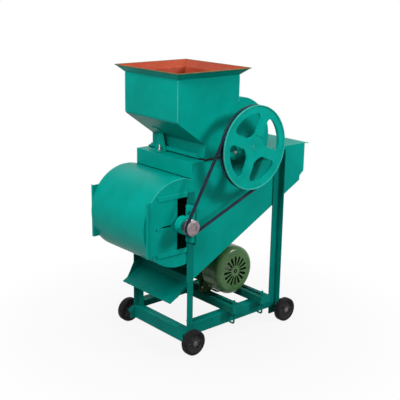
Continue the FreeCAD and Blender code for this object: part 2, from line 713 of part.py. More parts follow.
# Feed gate that slides through the neck's slit towards the drum
def make_gate():
    low = gasket_top + d.plate_wall + d.slide_gap
    high = low + d.gate_wall
    sheet_part = box((d.gate_left, d.gate_right), (-gate_half_length, gate_half_length), (low, high))
    lip_half = gate_half_length - d.clip_lap - d.gate_lip_gap
    lip = box((d.gate_left, d.gate_left + d.gate_wall), (-lip_half, lip_half), (high, high + d.gate_lip))
    node("feed_gate", fuse(sheet_part, lip))
    clips = []
    for name, side in SIDES:
        post = box((d.casing_edge - d.casing_flange, d.casing_edge),
                   span(side, gate_half_length + d.slide_gap, casing_half_width),
                   (low - d.slide_gap, high + d.slide_gap))
        finger = box((d.casing_edge - d.casing_flange, d.casing_edge),
                     span(side, gate_half_length - d.clip_lap, casing_half_width),
                     (high + d.slide_gap, high + d.slide_gap + d.gate_wall))
        clips.append(fuse(post, finger))
    node("gate_clips", group(*clips))


# Drum: shaft, spiders, beater bars with rubber pads
def make_drum():
    axis = (d.drum_axis, drum_axis_height)
    node("drum_shaft", rod("y", d.shaft_radius, -shaft_end, bearing_face + d.shaft_end_reach, axis))
    spiders = []
    for way in (-1, 1):
        place = spider_offset * way
        disc = rod("y", d.spider_radius, place - d.spider_wall / 2, place + d.spider_wall / 2, axis)
        hub = rod("y", d.hub_radius, place - d.hub_length / 2, place + d.hub_length / 2, axis)
        bore = rod("y", d.shaft_radius, place - d.hub_length, place + d.hub_length, axis)
        spiders.append(cut(fuse(disc, hub), bore))
    node("drum_spiders", group(*spiders))
    bars = []
    pads = []
    bar_tip = d.spider_radius + d.bar_depth
    step = 360 / d.bar_count.value
    for index in range(int(d.bar_count.value)):
        angle = d.bar_start_angle.value + step * index
        bars.append(radial_bar(angle, d.spider_radius, bar_tip, d.bar_wall))
        pads.append(radial_bar(angle, bar_tip, bar_tip + d.pad_depth, d.bar_wall + d.pad_lap))
    node("beater_bars", group(*bars))
    node("rubber_pads", group(*pads))


def radial_bar(angle, inner, outer, wall):
    """A bar along the drum at an angle about its axis, standing outwards."""
    item = doc.addObject("Part::Box", "bar")
    bind(item, "Length", outer - inner)
    bind(item, "Width", bar_half_length * 2)
    bind(item, "Height", wall)
    across = cosine(angle) * inner + sine(angle) * wall / 2
    up = sine(angle) * inner - cosine(angle) * wall / 2
    bind_place(item, d.drum_axis + across, -bar_half_length, drum_axis_height + up,
               Rotation(Vector(0, 1, 0), -angle))
    return item


# Bar screen under the drum: rods between two half rings
def make_screen():
    axis = (d.drum_axis, drum_axis_height)
    pieces = []
    outer = d.screen_radius + d.screen_strap_half
    low = box((d.drum_axis - outer, d.drum_axis + outer), (-plate_inner, plate_inner),
              (drum_axis_height - outer, d.body_top - d.screen_top_gap))
    strap_face = plate_inner - d.screen_strap
    for name, side in SIDES:
        faces = span(side, strap_face, plate_inner)
        ring = cut(rod("y", outer, *faces, axis),
                   rod("y", d.screen_radius - d.screen_strap_half, *faces, axis))
        pieces.append(common(ring, low))
    for index in range(int(d.screen_rods.value)):
        share = index / (d.screen_rods.value - 1)
        angle = d.screen_start + d.screen_sweep * share
        pieces.append(rod("y", d.screen_rod_radius, -strap_face, strap_face,
                          (d.drum_axis + cosine(angle) * d.screen_radius,
                           drum_axis_height + sine(angle) * d.screen_radius)))
    node("bar_screen", group(*pieces))


# Fan: shell, end plates with sliding air shutters, impeller and shaft
def make_fan():
    axis = (fan_axis, fan_axis_height)
    left = fan_axis - d.fan_shell_radius
    heights = (fan_axis_height - d.fan_shell_radius, fan_axis_height + d.fan_shell_radius)
    faces = (-fan_plate_inner, fan_plate_inner)
    ring = cut(rod("y", d.fan_shell_radius, *faces, axis),
               rod("y", d.fan_shell_radius - d.plate_wall, *faces, axis))
    node("fan_shell", common(ring, box((left, d.fan_shell_end), faces, heights)))
    guides = []
    for name, side in SIDES:
        wall = span(side, fan_plate_inner, plate_inner)
        disc = common(rod("y", d.fan_shell_radius, *wall, axis), box((left, d.fan_lap), wall, heights))
        window_part = box((d.inlet_left, body_left - d.inlet_inset), (wall[0] - OVERRUN, wall[1] + OVERRUN),
                          (fan_axis_height - d.inlet_half_height, fan_axis_height + d.inlet_half_height))
        node(f"fan_end_plate_{name}", cut(disc, window_part))
        node(f"air_shutter_{name}", shutter(side))
        guides.extend(shutter_guides(side))
    node("shutter_guides", group(*guides))
    node("fan_shaft", rod("y", d.shaft_radius, -shaft_end, shaft_end, axis))
    make_impeller(axis)


def shutter(side):
    """A sliding plate over the air inlet, with a lip to push and a slot for its clamp screw."""
    inner = plate_inner + d.slide_gap
    outer = inner + d.shutter_wall
    faces = span(side, inner, outer)
    heights = (fan_axis_height - d.shutter_half_height, fan_axis_height + d.shutter_half_height)
    blank = box((d.shutter_left, shutter_right), faces, heights)
    lip_end = d.shutter_left + d.shutter_wall
    lip = box((d.shutter_left, lip_end), span(side, outer, outer + d.shutter_lip), heights)
    slot = box((d.shutter_slot_start, d.shutter_slot_end), (faces[0] - OVERRUN, faces[1] + OVERRUN),
               (fan_axis_height - d.shutter_slot_height / 2, fan_axis_height + d.shutter_slot_height / 2))
    return cut(fuse(blank, lip), slot)


def shutter_guides(side):
    """Two strips that hold a shutter to its end plate, and the screw that clamps it."""
    pieces = []
    outer = plate_inner + d.shutter_wall + d.slide_gap * 2
    run = (d.inlet_left - d.guide_overrun, body_left - d.inlet_inset)
    inner_edge = d.shutter_half_height + d.slide_gap
    for way in (-1, 1):
        end = fan_axis_height + (inner_edge + d.guide_height) * way
        spacer = box(run, span(side, plate_inner, outer), ordered(fan_axis_height + inner_edge * way, end))
        keeper = box(run, span(side, outer, outer + d.guide_wall),
                     ordered(fan_axis_height + (inner_edge - d.guide_lap) * way, end))
        pieces.append(fuse(spacer, keeper))
    place = (d.shutter_slot_start + d.shutter_slot_height / 2, fan_axis_height)
    pin = rod("y", d.clamp_radius, *span(side, plate_inner, outer), place)
    head = rod("y", d.clamp_head_radius, *span(side, outer, outer + d.clamp_head_wall), place)
    pieces.append(fuse(pin, head))
    return pieces


def make_impeller(axis):
    """Blades screwed to the arms of two hubs on the fan shaft."""
    pieces = []
    step = 360 / d.fan_blades.value
    angles = [step * (index + 0.5) for index in range(int(d.fan_blades.value))]
    arm_start = d.hub_radius - d.fan_arm_wall
    arm_end = d.fan_blade_radius - d.fan_arm_inset
    for way in (-1, 1):
        place = fan_arm_place * way
        hub = rod("y", d.hub_radius, place - d.hub_length / 2, place + d.hub_length / 2, axis)
        bore = rod("y", d.shaft_radius, place - d.hub_length, place + d.hub_length, axis)
        arms = []
        for angle in angles:
            arms.append(fan_box(angle, (arm_start, arm_end), place - d.fan_arm_width / 2, d.fan_arm_width,
                                d.fan_arm_wall, size(0)))
        pieces.append(cut(fuse(hub, *arms), bore))
    for angle in angles:
        pieces.append(fan_box(angle, (d.fan_blade_radius - d.fan_blade_depth, d.fan_blade_radius),
                              -fan_blade_half_length, fan_blade_half_length * 2, d.fan_blade_wall,
                              (d.fan_arm_wall + d.fan_blade_wall) / 2))
    node("fan_impeller", group(*pieces))


def fan_box(angle, reach, start, length, wall, shift):
    """A flat bar of the impeller at an angle about the fan's axis."""
    item = doc.addObject("Part::Box", "blade")
    inner, outer = reach
    bind(item, "Length", outer - inner)
    bind(item, "Width", length)
    bind(item, "Height", wall)
    offset = wall / 2 - shift
    across = cosine(angle) * inner + sine(angle) * offset
    up = sine(angle) * inner - cosine(angle) * offset
    bind_place(item, fan_axis + across, start, fan_axis_height + up, Rotation(Vector(0, 1, 0), -angle))
    return item


# Pillow-block bearings, their seats and bolts
def pillow_block(place, turn):
    """A cast bearing housing with its foot at z = -rise, its shaft along Y."""
    half_width = d.bearing_width / 2
    cast_half = half_width - d.bearing_insert_step
    foot = box((-(d.bearing_length / 2), d.bearing_length / 2), (-half_width, half_width),
               (-d.bearing_rise, -(d.bearing_rise - d.bearing_foot)))
    cheek = box((-d.bearing_cheek, d.bearing_cheek), (-cast_half, cast_half), (-d.bearing_rise, size(0)))
    ring = rod("y", d.bearing_ring, -cast_half, cast_half, (0, 0))
    insert = rod("y", d.bearing_insert, -half_width, half_width, (0, 0))
    bore = rod("y", d.shaft_radius + d.bearing_gap, -d.bearing_width, d.bearing_width, (0, 0))
    block = cut(fuse(foot, cheek, ring, insert), bore)
    bind_place(block, *place, turn)
    return block


def make_bearings():
    upright = Rotation()
    sideways = Rotation(Vector(0, 1, 0), -90)
    drum_blocks = []
    fan_blocks = []
    beams = []
    seats = []
    foot_top = beam_top + d.bearing_foot
    foot_face = fan_axis + d.bearing_rise - d.bearing_foot
    for name, side in SIDES:
        middle = bearing_centre * side
        drum_blocks.append(pillow_block((d.drum_axis, middle, drum_axis_height), upright))
        fan_blocks.append(pillow_block((fan_axis, middle, fan_axis_height), sideways))
        out = span(side, d.frame_half_width, d.frame_half_width + d.beam_out)
        web = box((d.beam_left, d.right_leg_edge), span(side, plate_outer, d.frame_half_width),
                  (beam_top - d.beam_depth, beam_top))
        shelf = box((d.beam_left, d.right_leg_edge), out, (beam_top - d.angle_wall, beam_top))
        beams.append(fuse(web, shelf))
        seats.append(box((fan_axis + d.bearing_rise, fan_axis + d.bearing_rise + d.seat_wall), out,
                         (fan_axis_height - d.seat_half_height, fan_axis_height + d.seat_half_height)))
        for way in (-1, 1):
            shift = d.bearing_bolts / 2 * way
            body_bolts.append(hexagon("z", d.bearing_bolt_head, foot_top, foot_top + d.bearing_bolt_wall,
                                      (d.drum_axis + shift, middle)))
            body_bolts.append(hexagon("x", d.bearing_bolt_head, foot_face - d.bearing_bolt_wall, foot_face,
                                      (middle, fan_axis_height + shift)))
    node("drum_bearings", group(*drum_blocks))
    node("fan_bearings", group(*fan_blocks))
    node("bearing_beams", group(*beams))
    node("bearing_seats", group(*seats))
    node("body_bolts", group(*body_bolts))


# Belt wheels: a profile turned about the shaft, with a V groove
def groove(pitch):
    """A belt wheel's rim radius, its groove's depth and the groove's half widths, top and bottom."""
    taper = (d.belt_top_width - d.belt_bottom_width) / 2 / d.belt_height
    top = d.belt_top_width / 2 + d.belt_gap
    low = d.belt_bottom_width / 2 + d.belt_gap - taper * d.groove_spare
    return pitch + d.belt_height / 2, d.belt_height + d.groove_spare, top, low


def small_pulley(pitch, bore, side, axis, hub_radius):
    """A solid belt wheel with a hub towards the machine and a turned boss outside."""
    rim, depth, top, low = groove(pitch)
    half = d.pulley_width / 2
    boss = half + d.pulley_boss
    hub_end = belt_plane - bearing_face - d.hub_gap
    profile = [
        (bore, -hub_end), (hub_radius, -hub_end), (hub_radius, -half), (rim, -half), (rim, -top),
        (rim - depth, -low), (rim - depth, low), (rim, top), (rim, half), (rim - d.pulley_step, half),
        (rim - d.pulley_step, boss), (bore, boss),
    ]
    turn = Rotation() if side == FAR else Rotation(Vector(0, 0, 1), 180)
    return turned(profile, axis[0], belt_plane * side, axis[1], turn)


def make_pulleys():
    fan = (fan_axis, fan_axis_height)
    fan_hub = d.fan_pulley_pitch - d.fan_hub_inset
    node("fan_pulley", small_pulley(d.fan_pulley_pitch, d.shaft_radius, NEAR, fan, fan_hub))
    node("fan_drive_pulley", small_pulley(d.fan_drive_pitch, d.shaft_radius, FAR, fan, d.drive_hub_radius))
    motor = (d.motor_axis, motor_axis_height)
    node("motor_pulley", small_pulley(d.motor_pulley_pitch, d.motor_shaft_radius, FAR, motor,
                                      d.drive_hub_radius))
    make_drum_pulley()


def make_drum_pulley():
    """The big belt wheel: rim, web with four windows, and hub."""
    rim, depth, top, low = groove(d.drum_pulley_pitch)
    half = d.pulley_width / 2
    face = half - d.pulley_recess
    web = face - d.pulley_web
    hub_end = belt_plane - bearing_face - d.hub_gap
    rim_inside = rim - depth - d.pulley_rim_wall
    profile = [
        (d.shaft_radius, -hub_end), (d.pulley_hub_radius, -hub_end), (d.pulley_hub_radius, web),
        (rim_inside, web), (rim_inside, -half), (rim, -half), (rim, -top), (rim - depth, -low),
        (rim - depth, low), (rim, top), (rim, half), (rim - d.pulley_rim, half), (rim - d.pulley_rim, face),
        (d.shaft_radius, face),
    ]
    body = turned(profile, d.drum_axis, -belt_plane, drum_axis_height, Rotation(Vector(0, 0, 1), 180))
    doc.recompute()
    sketch = new_sketch(body, "XZ_Plane")
    draw_loop(sketch, window_outline())
    cutter = pocket_through(body, sketch)
    polar(body, cutter, d.pulley_windows)
    node("drum_pulley", body)


def window_outline():
    """One window between two spokes: an arc near the hub, an arc at the rim, cut corners there."""
    edge = d.spoke_half_width
    corner = edge + d.window_corner
    inner, outer = d.window_inner, d.window_outer
    near_hub = root(inner * inner - edge * edge)
    reach = root(outer * outer - corner * corner)
    points = [(edge, near_hub), (cosine(45) * inner, sine(45) * inner), (near_hub, edge),
              (reach - d.window_corner / 2, edge), (reach, corner)]
    for angle in (30, 45, 60):
        points.append((cosine(angle) * outer, sine(angle) * outer))
    points.extend([(corner, reach), (edge, reach - d.window_corner / 2)])
    turn = 45 - d.window_angle
    outline = []
    for across, up in points:
        outline.append((-(cosine(turn) * across) - sine(turn) * up, cosine(turn) * up - sine(turn) * across))
    return outline


# V-belts: a trapezoid section carried round two belt wheels
def belt(first, first_pitch, second, second_pitch, plane_y):
    """A closed belt round two pitch circles, in a plane of constant Y."""
    ax, az = first[0].value, first[1].value
    bx, bz = second[0].value, second[1].value
    r1, r2 = first_pitch.value, second_pitch.value
    span_length = math.hypot(bx - ax, bz - az)
    heading = math.atan2(bz - az, bx - ax)
    lean = math.acos((r1 - r2) / span_length)
    y = plane_y.value

    def at(cx, cz, radius, angle):
        return Vector(cx + radius * math.cos(angle), y, cz + radius * math.sin(angle))

    a1, a2 = heading + lean, heading - lean
    back1, back2 = heading + math.pi, heading
    path = Part.Wire([
        Part.Arc(at(ax, az, r1, a1), at(ax, az, r1, back1), at(ax, az, r1, a2)).toShape(),
        Part.LineSegment(at(ax, az, r1, a2), at(bx, bz, r2, a2)).toShape(),
        Part.Arc(at(bx, bz, r2, a2), at(bx, bz, r2, back2), at(bx, bz, r2, a1)).toShape(),
        Part.LineSegment(at(bx, bz, r2, a1), at(ax, az, r1, a1)).toShape(),
    ])
    out = Vector(math.cos(a1), 0, math.sin(a1))
    across = Vector(0, 1, 0)
    centre = at(ax, az, r1, a1)
    half_height = d.belt_height.value / 2
    wide, slim = d.belt_top_width.value / 2, d.belt_bottom_width.value / 2
    corners = [
        centre + out * half_height + across * wide, centre + out * half_height - across * wide,
        centre - out * half_height - across * slim, centre - out * half_height + across * slim,
    ]
    section = Part.makePolygon(corners + corners[:1])
    solid = path.makePipeShell([section], True, True)
    item = doc.addObject("Part::Feature", "belt")
    item.Shape = solid
    return item


def make_belts():
    fan = (fan_axis, fan_axis_height)
    drum = (d.drum_axis, drum_axis_height)
    motor = (d.motor_axis, motor_axis_height)
    node("drum_belt", belt(drum, d.drum_pulley_pitch, fan, d.fan_pulley_pitch, -belt_plane))
    node("motor_belt", belt(fan, d.fan_drive_pitch, motor, d.motor_pulley_pitch, belt_plane))


# Motor: finned housing, end shields, fan and slotted cover, rotor, box
def make_motor():
    axis = (d.motor_axis, motor_axis_height)
    body_end = d.motor_body_start + d.motor_body_length
    shield_start = d.motor_body_start - d.shield_wall
    node("motor_housing", fuse(motor_barrel(axis, body_end), *motor_feet(axis)))
    bore = d.motor_shaft_radius + d.bearing_gap
    node("motor_shield_drive", turned([
        (bore, 0), (d.motor_radius, 0), (d.motor_radius, d.shield_wall),
        (d.motor_shaft_radius + d.shield_hub_wall, d.shield_length), (bore, d.shield_length),
    ], axis[0], body_end, axis[1]))
    node("motor_shield_fan", turned([
        (bore, 0), (d.motor_radius, 0), (d.motor_radius, d.shield_wall), (bore, d.shield_wall),
    ], axis[0], shield_start, axis[1]))
    make_motor_cover(axis)
    fan_place = shield_start - d.motor_fan_gap - d.motor_fan_width
    core = d.motor_radius - d.motor_shell_wall - d.rotor_gap
    node("motor_rotor", fuse(
        rod("y", d.motor_shaft_radius, fan_place, shaft_end, axis),
        rod("y", core, d.motor_body_start + d.rotor_inset, body_end - d.rotor_inset, axis)))
    blades = []
    step = 360 / d.motor_fan_blades.value
    for index in range(int(d.motor_fan_blades.value)):
        blades.append(motor_blade(step * index, fan_place))
    hub = rod("y", d.motor_fan_hub, fan_place, fan_place + d.motor_fan_width, axis)
    hole = rod("y", d.motor_shaft_radius, fan_place - OVERRUN, fan_place + d.motor_fan_width + OVERRUN, axis)
    node("motor_fan", cut(fuse(hub, *blades), hole))
    make_terminal_box(axis)


def motor_barrel(axis, body_end):
    """The finned barrel: a ring and a pattern of straight fins."""
    housing = doc.addObject("PartDesign::Body", "housing")
    sketch = new_sketch(housing, "XZ_Plane")
    draw_circle(sketch, 0, 0, d.motor_radius)
    draw_circle(sketch, 0, 0, d.motor_radius - d.motor_shell_wall)
    pad = housing.newObject("PartDesign::Pad", "barrel")
    pad.Profile = sketch
    bind(pad, "Length", d.motor_body_length)
    housing.Tip = pad
    fin_sketch = new_sketch(housing, "XZ_Plane")
    half = d.motor_fin_wall / 2
    inner = d.motor_radius - d.motor_fin_wall
    outer = d.motor_radius + d.motor_fin_height
    draw_loop(fin_sketch, [(inner, -half), (outer, -half), (outer, half), (inner, half)])
    fin = housing.newObject("PartDesign::Pad", "fin")
    fin.Profile = fin_sketch
    bind(fin, "Length", d.motor_body_length)
    housing.Tip = fin
    polar(housing, fin, d.motor_fins)
    bind_place(housing, axis[0], body_end, axis[1])
    return housing


def motor_feet(axis):
    """Four feet, each a drilled pad with a rib on either side of its bolt."""
    x, z = axis
    pieces = []
    for shift in (-1, 1):
        middle = x + d.foot_spread / 2 * shift
        rib = ordered(x + d.foot_rib_top * shift, middle + d.foot_rib_end * shift)
        for row in (-1, 1):
            place = d.foot_centre + d.foot_pitch / 2 * row
            start, end = place - d.foot_width / 2, place + d.foot_width / 2
            pad = box((middle - d.foot_length / 2, middle + d.foot_length / 2), (start, end),
                      (motor_foot, motor_foot + d.foot_wall))
            hole = rod("z", d.foot_bolt_radius + d.foot_hole_gap, motor_foot - OVERRUN,
                       motor_foot + d.foot_wall + OVERRUN, (middle, place))
            pieces.append(cut(pad, hole))
            for edge in (start, end - d.foot_rib):
                pieces.append(box(rib, (edge, edge + d.foot_rib), (motor_foot, z - d.foot_rib_top)))
    return pieces


def motor_blade(angle, start):
    """One radial blade of the motor's cooling fan."""
    item = doc.addObject("Part::Box", "blade")
    wall = d.motor_blade_wall
    inner = d.motor_fan_hub - wall
    bind(item, "Length", d.motor_fan_reach - inner)
    bind(item, "Width", d.motor_fan_width)
    bind(item, "Height", wall)
    across = cosine(angle) * inner + sine(angle) * wall / 2
    up = sine(angle) * inner - cosine(angle) * wall / 2
    bind_place(item, d.motor_axis + across, start, motor_axis_height + up, Rotation(Vector(0, 1, 0), -angle))
    return item


def make_motor_cover(axis):
    """A deep-drawn cover: rounded shoulder, flat face with a ring of slots."""
    wall = d.motor_cover_wall
    radius = motor_cover_radius
    turn = d.motor_cover_round
    outer = cover_shoulder(radius - turn, turn, turn)
    inner = cover_shoulder(radius - turn, turn, turn - wall)
    profile = [(0, 0)] + outer + [(radius, d.motor_cover_length), (radius - wall, d.motor_cover_length)]
    profile.extend(inner[::-1] + [(0, wall)])
    body = turned(profile, axis[0], d.motor_cover_end, axis[1])
    doc.recompute()
    sketch = new_sketch(body, "XZ_Plane")
    half = d.grille_slot_width / 2
    tip = d.grille_slot_width / 4
    draw_loop(sketch, [(d.grille_inner, -tip), (d.grille_outer - half, -half), (d.grille_outer, -tip),
                       (d.grille_outer, tip), (d.grille_outer - half, half), (d.grille_inner, tip)])
    slots = pocket_through(body, sketch)
    polar(body, slots, d.grille_slots)
    node("motor_fan_cover", body)


def cover_shoulder(across, along, radius):
    """Points of a quarter round from the cover's face to its side."""
    points = []
    for step in range(BEND_STEPS + 1):
        angle = 90 * step / BEND_STEPS
        points.append((across + sine(angle) * radius, along - cosine(angle) * radius))
    return points


def make_terminal_box(axis):
    """The cable box on top of the fins: an open case, its lid and a cable gland."""
    x = axis[0]
    fin_top = axis[1] + d.motor_radius + d.motor_fin_height
    box_top = fin_top + d.terminal_box_height
    half_width = d.terminal_box_width / 2
    half_length = d.terminal_box_length / 2
    lap = d.terminal_lid_lap
    case = box((x - half_width, x + half_width), (d.foot_centre - half_length, d.foot_centre + half_length),
               (fin_top, box_top))
    gland_place = (d.foot_centre, box_top - d.gland_drop)
    gland_start = x + half_width - d.gland_seat
    seat = rod("x", d.gland_radius, gland_start, x + half_width + OVERRUN, gland_place)
    lid = box((x - half_width - lap, x + half_width + lap),
              (d.foot_centre - half_length - lap, d.foot_centre + half_length + lap),
              (box_top, box_top + d.terminal_lid_wall))
    node("motor_terminal_box", group(cut(case, seat), lid))
    gland_end = gland_start + d.gland_length
    node("cable_gland", cut(rod("x", d.gland_radius, gland_start, gland_end, gland_place),
                            rod("x", d.gland_bore, gland_start - OVERRUN, gland_end + OVERRUN, gland_place)))


# Motor rails across the base, and the bolts that hold them
def make_motor_rails():
    rails = []
    foot_bolts = []
    hooks = []
    underside = motor_foot - d.motor_rail_wall
    foot_top = motor_foot + d.foot_wall
    bolt_head = d.foot_bolt_radius + d.bolt_head_lap
    for shift in (-1, 1):
        middle = d.motor_axis + d.foot_spread / 2 * shift
        x = (middle - d.motor_rail_width / 2, middle + d.motor_rail_width / 2)
        y = (-motor_rail_end, motor_rail_end)
        block = box(x, y, (rail_top, motor_foot))
        hollow = box((x[0] + d.motor_rail_wall, x[1] - d.motor_rail_wall), (y[0] - OVERRUN, y[1] + OVERRUN),
                     (rail_top - OVERRUN, underside))
        slot = box((middle - d.rail_slot_width / 2, middle + d.rail_slot_width / 2),
                   (y[0] + d.rail_slot_inset, y[1] - d.rail_slot_inset),
                   (underside - OVERRUN, motor_foot + OVERRUN))
        rails.append(cut(block, hollow, slot))
        for row in (-1, 1):
            place = (middle, d.foot_centre + d.foot_pitch / 2 * row)
            low = underside - d.foot_bolt_head
            high = foot_top + d.foot_bolt_head
            foot_bolts.append(fuse(hexagon("z", bolt_head, foot_top, high, place),
                                   hexagon("z", bolt_head, low, underside, place),
                                   rod("z", d.foot_bolt_radius, low, high, place)))
            place = (middle, hook_bolt_place * row)
            run = (d.leg_bottom - d.hook_drop, motor_foot + d.hook_bolt_top)
            shank = rod("z", d.hook_bolt_radius, *run, place)
            nut_run = (motor_foot, motor_foot + d.hook_nut)
            nut = hexagon("z", d.hook_bolt_radius + d.bolt_head_lap, *nut_run, place)
            toe = rod("y", d.hook_bolt_radius - d.hook_toe_inset,
                      *span(row, d.frame_half_width - d.hook_toe, hook_bolt_place),
                      (middle, d.leg_bottom - d.hook_bolt_radius))
            hooks.append(fuse(shank, nut, toe))
    node("motor_rails", group(*rails))
    node("motor_foot_bolts", group(*foot_bolts))
    node("rail_hook_bolts", group(*hooks))


make_frame()
make_wheels()
make_body()
make_chute()
make_casing()
make_hopper()
make_stay()
make_gate()
make_drum()
make_screen()
make_fan()
make_bearings()
make_pulleys()
make_belts()
make_motor()
make_motor_rails()
doc.recompute()

for item in doc.Objects:
    if "Invalid" in item.State or "Error" in item.State:
        raise RuntimeError(f"{item.Name} {item.Label}: {item.State}")
os.makedirs("parts", exist_ok=True)
for item in nodes:
    shape = item.Shape
    if shape.isNull() or not shape.isValid():
        raise RuntimeError(f"{item.Label} has no valid shape")
    shape.exportStep(os.path.join("parts", item.Label + ".step"))
    print(item.Label, len(shape.Solids), round(shape.Volume / 1000, 1))
print(len(nodes), "nodes")
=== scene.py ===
"""Garlic bulb breaker: enamelled sheet metal, castings, belts, bolts and wheels around the fixed frame."""
import json
import math

import bmesh
import bpy
import numpy as np
from mathutils import Matrix, Vector


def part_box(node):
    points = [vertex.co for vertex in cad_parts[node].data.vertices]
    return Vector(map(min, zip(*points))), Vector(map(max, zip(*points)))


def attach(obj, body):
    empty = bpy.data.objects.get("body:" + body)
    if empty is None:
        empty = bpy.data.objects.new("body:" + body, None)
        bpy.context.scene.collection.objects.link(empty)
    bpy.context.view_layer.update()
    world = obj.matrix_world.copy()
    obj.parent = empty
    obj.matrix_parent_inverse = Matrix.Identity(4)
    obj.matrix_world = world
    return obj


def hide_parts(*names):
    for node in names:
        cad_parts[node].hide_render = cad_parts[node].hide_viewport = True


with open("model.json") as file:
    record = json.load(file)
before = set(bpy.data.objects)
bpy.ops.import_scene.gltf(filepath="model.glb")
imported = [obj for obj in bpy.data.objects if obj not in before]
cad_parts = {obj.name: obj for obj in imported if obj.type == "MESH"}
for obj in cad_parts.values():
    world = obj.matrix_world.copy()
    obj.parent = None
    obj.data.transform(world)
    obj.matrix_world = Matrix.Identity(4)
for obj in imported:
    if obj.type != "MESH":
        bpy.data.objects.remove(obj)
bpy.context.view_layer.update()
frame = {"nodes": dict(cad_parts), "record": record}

MM = 0.001
IMAGE_SIDE = 400

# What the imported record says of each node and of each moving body's axis, in millimetres
behaviour = frame["record"]["behaviour"]
BODY_OF = {node: body for body, nodes in behaviour["bodies"].items() for node in nodes}
PIVOT = {joint["child"]: np.array(joint["pos_m"]) / MM for joint in behaviour["joints"] if "pos_m" in joint}
SIDES = {"near": -1, "far": 1}

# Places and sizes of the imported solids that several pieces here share, in millimetres
BELT_PLANE = 234
BEARING_PLANE = 190.5
HOOK_PLANE = 190
DRUM_PITCH, FAN_PITCH, FAN_DRIVE_PITCH, MOTOR_PITCH = 158, 26, 42, 38
RIM_OVER_PITCH = 4
SHAFT_RADIUS, MOTOR_SHAFT_RADIUS = 12.5, 14
RAIL_MIDDLES = (5, 165)


def ends(node):
    """The lowest and highest corners of a node, in millimetres."""
    low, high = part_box(node)
    return np.array(low) / MM, np.array(high) / MM


# Colours and material nodes
def linear(code):
    """An sRGB hex colour as linear red, green, blue and an opaque alpha."""
    values = [int(code[place:place + 2], 16) / 255 for place in (0, 2, 4)]
    return tuple(v / 12.92 if v <= 0.04045 else ((v + 0.055) / 1.055) ** 2.4 for v in values) + (1.0,)


def add(tree, kind, settings=None, links=None):
    """Adds a node; settings name its inputs or properties, and links feed its inputs."""
    made = tree.nodes.new(kind)
    for name, value in (settings or {}).items():
        if isinstance(name, int) or name in made.inputs:
            made.inputs[name].default_value = value
        else:
            setattr(made, name, value)
    for name, source in (links or {}).items():
        tree.links.new(source, made.inputs[name])
    return made


def new_material(name):
    """An empty node material, its tree and the place of a point on the object."""
    material = bpy.data.materials.new(name)
    material.use_nodes = True
    tree = material.node_tree
    tree.nodes.clear()
    return material, tree, add(tree, "ShaderNodeTexCoord").outputs["Object"]


def patches(tree, place, size_mm, low, high, detail=3.0):
    """Soft patches about size_mm across, from 0 where the noise is below low to 1 above high."""
    noise = add(tree, "ShaderNodeTexNoise", {"Scale": 1 / (size_mm * MM), "Detail": detail},
                {"Vector": place})
    spread = add(tree, "ShaderNodeMapRange", {"From Min": low, "From Max": high},
                 {"Value": noise.outputs["Fac"]})
    return spread.outputs["Result"]


def surface(name, colours, cloud, film, grain, shader, roughness):
    """A material of two clouded colours under a thin film of a third, with a grain in relief.

    colours are the main, the deeper and the film's hex colours. cloud and film are each a size in mm, a
    low and a high limit of the noise, and film also has its greatest share. grain is a size and a relief
    in mm, and roughness a value on the clean surface and one under the film.
    """
    material, tree, place = new_material(name)
    main, deep, dust = (linear(code) for code in colours)
    clouds = patches(tree, place, *cloud)
    veil = patches(tree, place, *film[:3], 6.0)
    tint = add(tree, "ShaderNodeMix", {"data_type": "RGBA", 6: main, 7: deep}, {0: clouds})
    share = add(tree, "ShaderNodeMath", {"operation": "MULTIPLY", 1: film[3]}, {0: veil})
    colour = add(tree, "ShaderNodeMix", {"data_type": "RGBA", 7: dust},
                 {0: share.outputs[0], 6: tint.outputs[2]})
    relief = add(tree, "ShaderNodeBump", {"Strength": 1.0, "Distance": grain[1] * MM},
                 {"Height": patches(tree, place, grain[0], 0.3, 0.7, 2.0)})
    rough = add(tree, "ShaderNodeMapRange", {"To Min": roughness[0], "To Max": roughness[1]}, {"Value": veil})
    made = add(tree, "ShaderNodeBsdfPrincipled", shader, {
        "Base Color": colour.outputs[2], "Roughness": rough.outputs["Result"],
        "Normal": relief.outputs["Normal"]})
    add(tree, "ShaderNodeOutputMaterial", links={"Surface": made.outputs["BSDF"]})
    return material


PAINT = {"IOR": 1.5, "Specular IOR Level": 0.035}
METAL = {"Metallic": 1.0}
RUBBER = {"IOR": 1.52, "Specular IOR Level": 0.08}
GLOSS = {"IOR": 1.5, "Specular IOR Level": 0.25}

# Enamel sprayed on sheet steel: one even, deep colour, a fine orange peel and a soft shine
TEAL = surface("sprayed_teal_enamel", ("009b8e", "008f82", "3fa598"), (110, 0.35, 0.7),
               (18, 0.55, 0.85, 0.08), (3.0, 0.02), PAINT, (0.36, 0.5))
# The same enamel on the frame's mill-scaled angle iron: duller over its rougher skin, and deeper as painted
# shade for the low frame and the chute
SHADED_FRAME_TEAL = surface("teal_enamel_deepened_as_shade_on_the_frame", ("007a6f", "006e64", "338a7e"), (80, 0.35, 0.7),
                     (16, 0.5, 0.85, 0.12), (2.2, 0.05), PAINT, (0.44, 0.58))
# The same enamel on sand-cast iron: the mould's grain shows through, so it is duller and broken up
CAST_TEAL = surface("teal_enamel_on_sand_cast_iron", ("00a496", "009486", "48a99c"), (60, 0.35, 0.7),
                    (14, 0.5, 0.8, 0.1), (1.8, 0.08), PAINT, (0.4, 0.55))
# Enamel sprayed on the pressed steel of the motor: olive, glossy enough to catch a lamp on its shoulder
OLIVE = surface("sprayed_olive_enamel", ("4f7547", "446a3e", "8f9f80"), (60, 0.35, 0.7),
                (14, 0.55, 0.85, 0.14), (2.5, 0.02), GLOSS, (0.24, 0.4))
# Olive enamel on the motor's cast shields and feet: a coarser grain in relief
CAST_OLIVE = surface("olive_enamel_on_cast_iron", ("48693f", "3d5a36", "87987a"), (50, 0.35, 0.7),
                     (12, 0.5, 0.8, 0.16), (1.8, 0.09), PAINT, (0.46, 0.6))
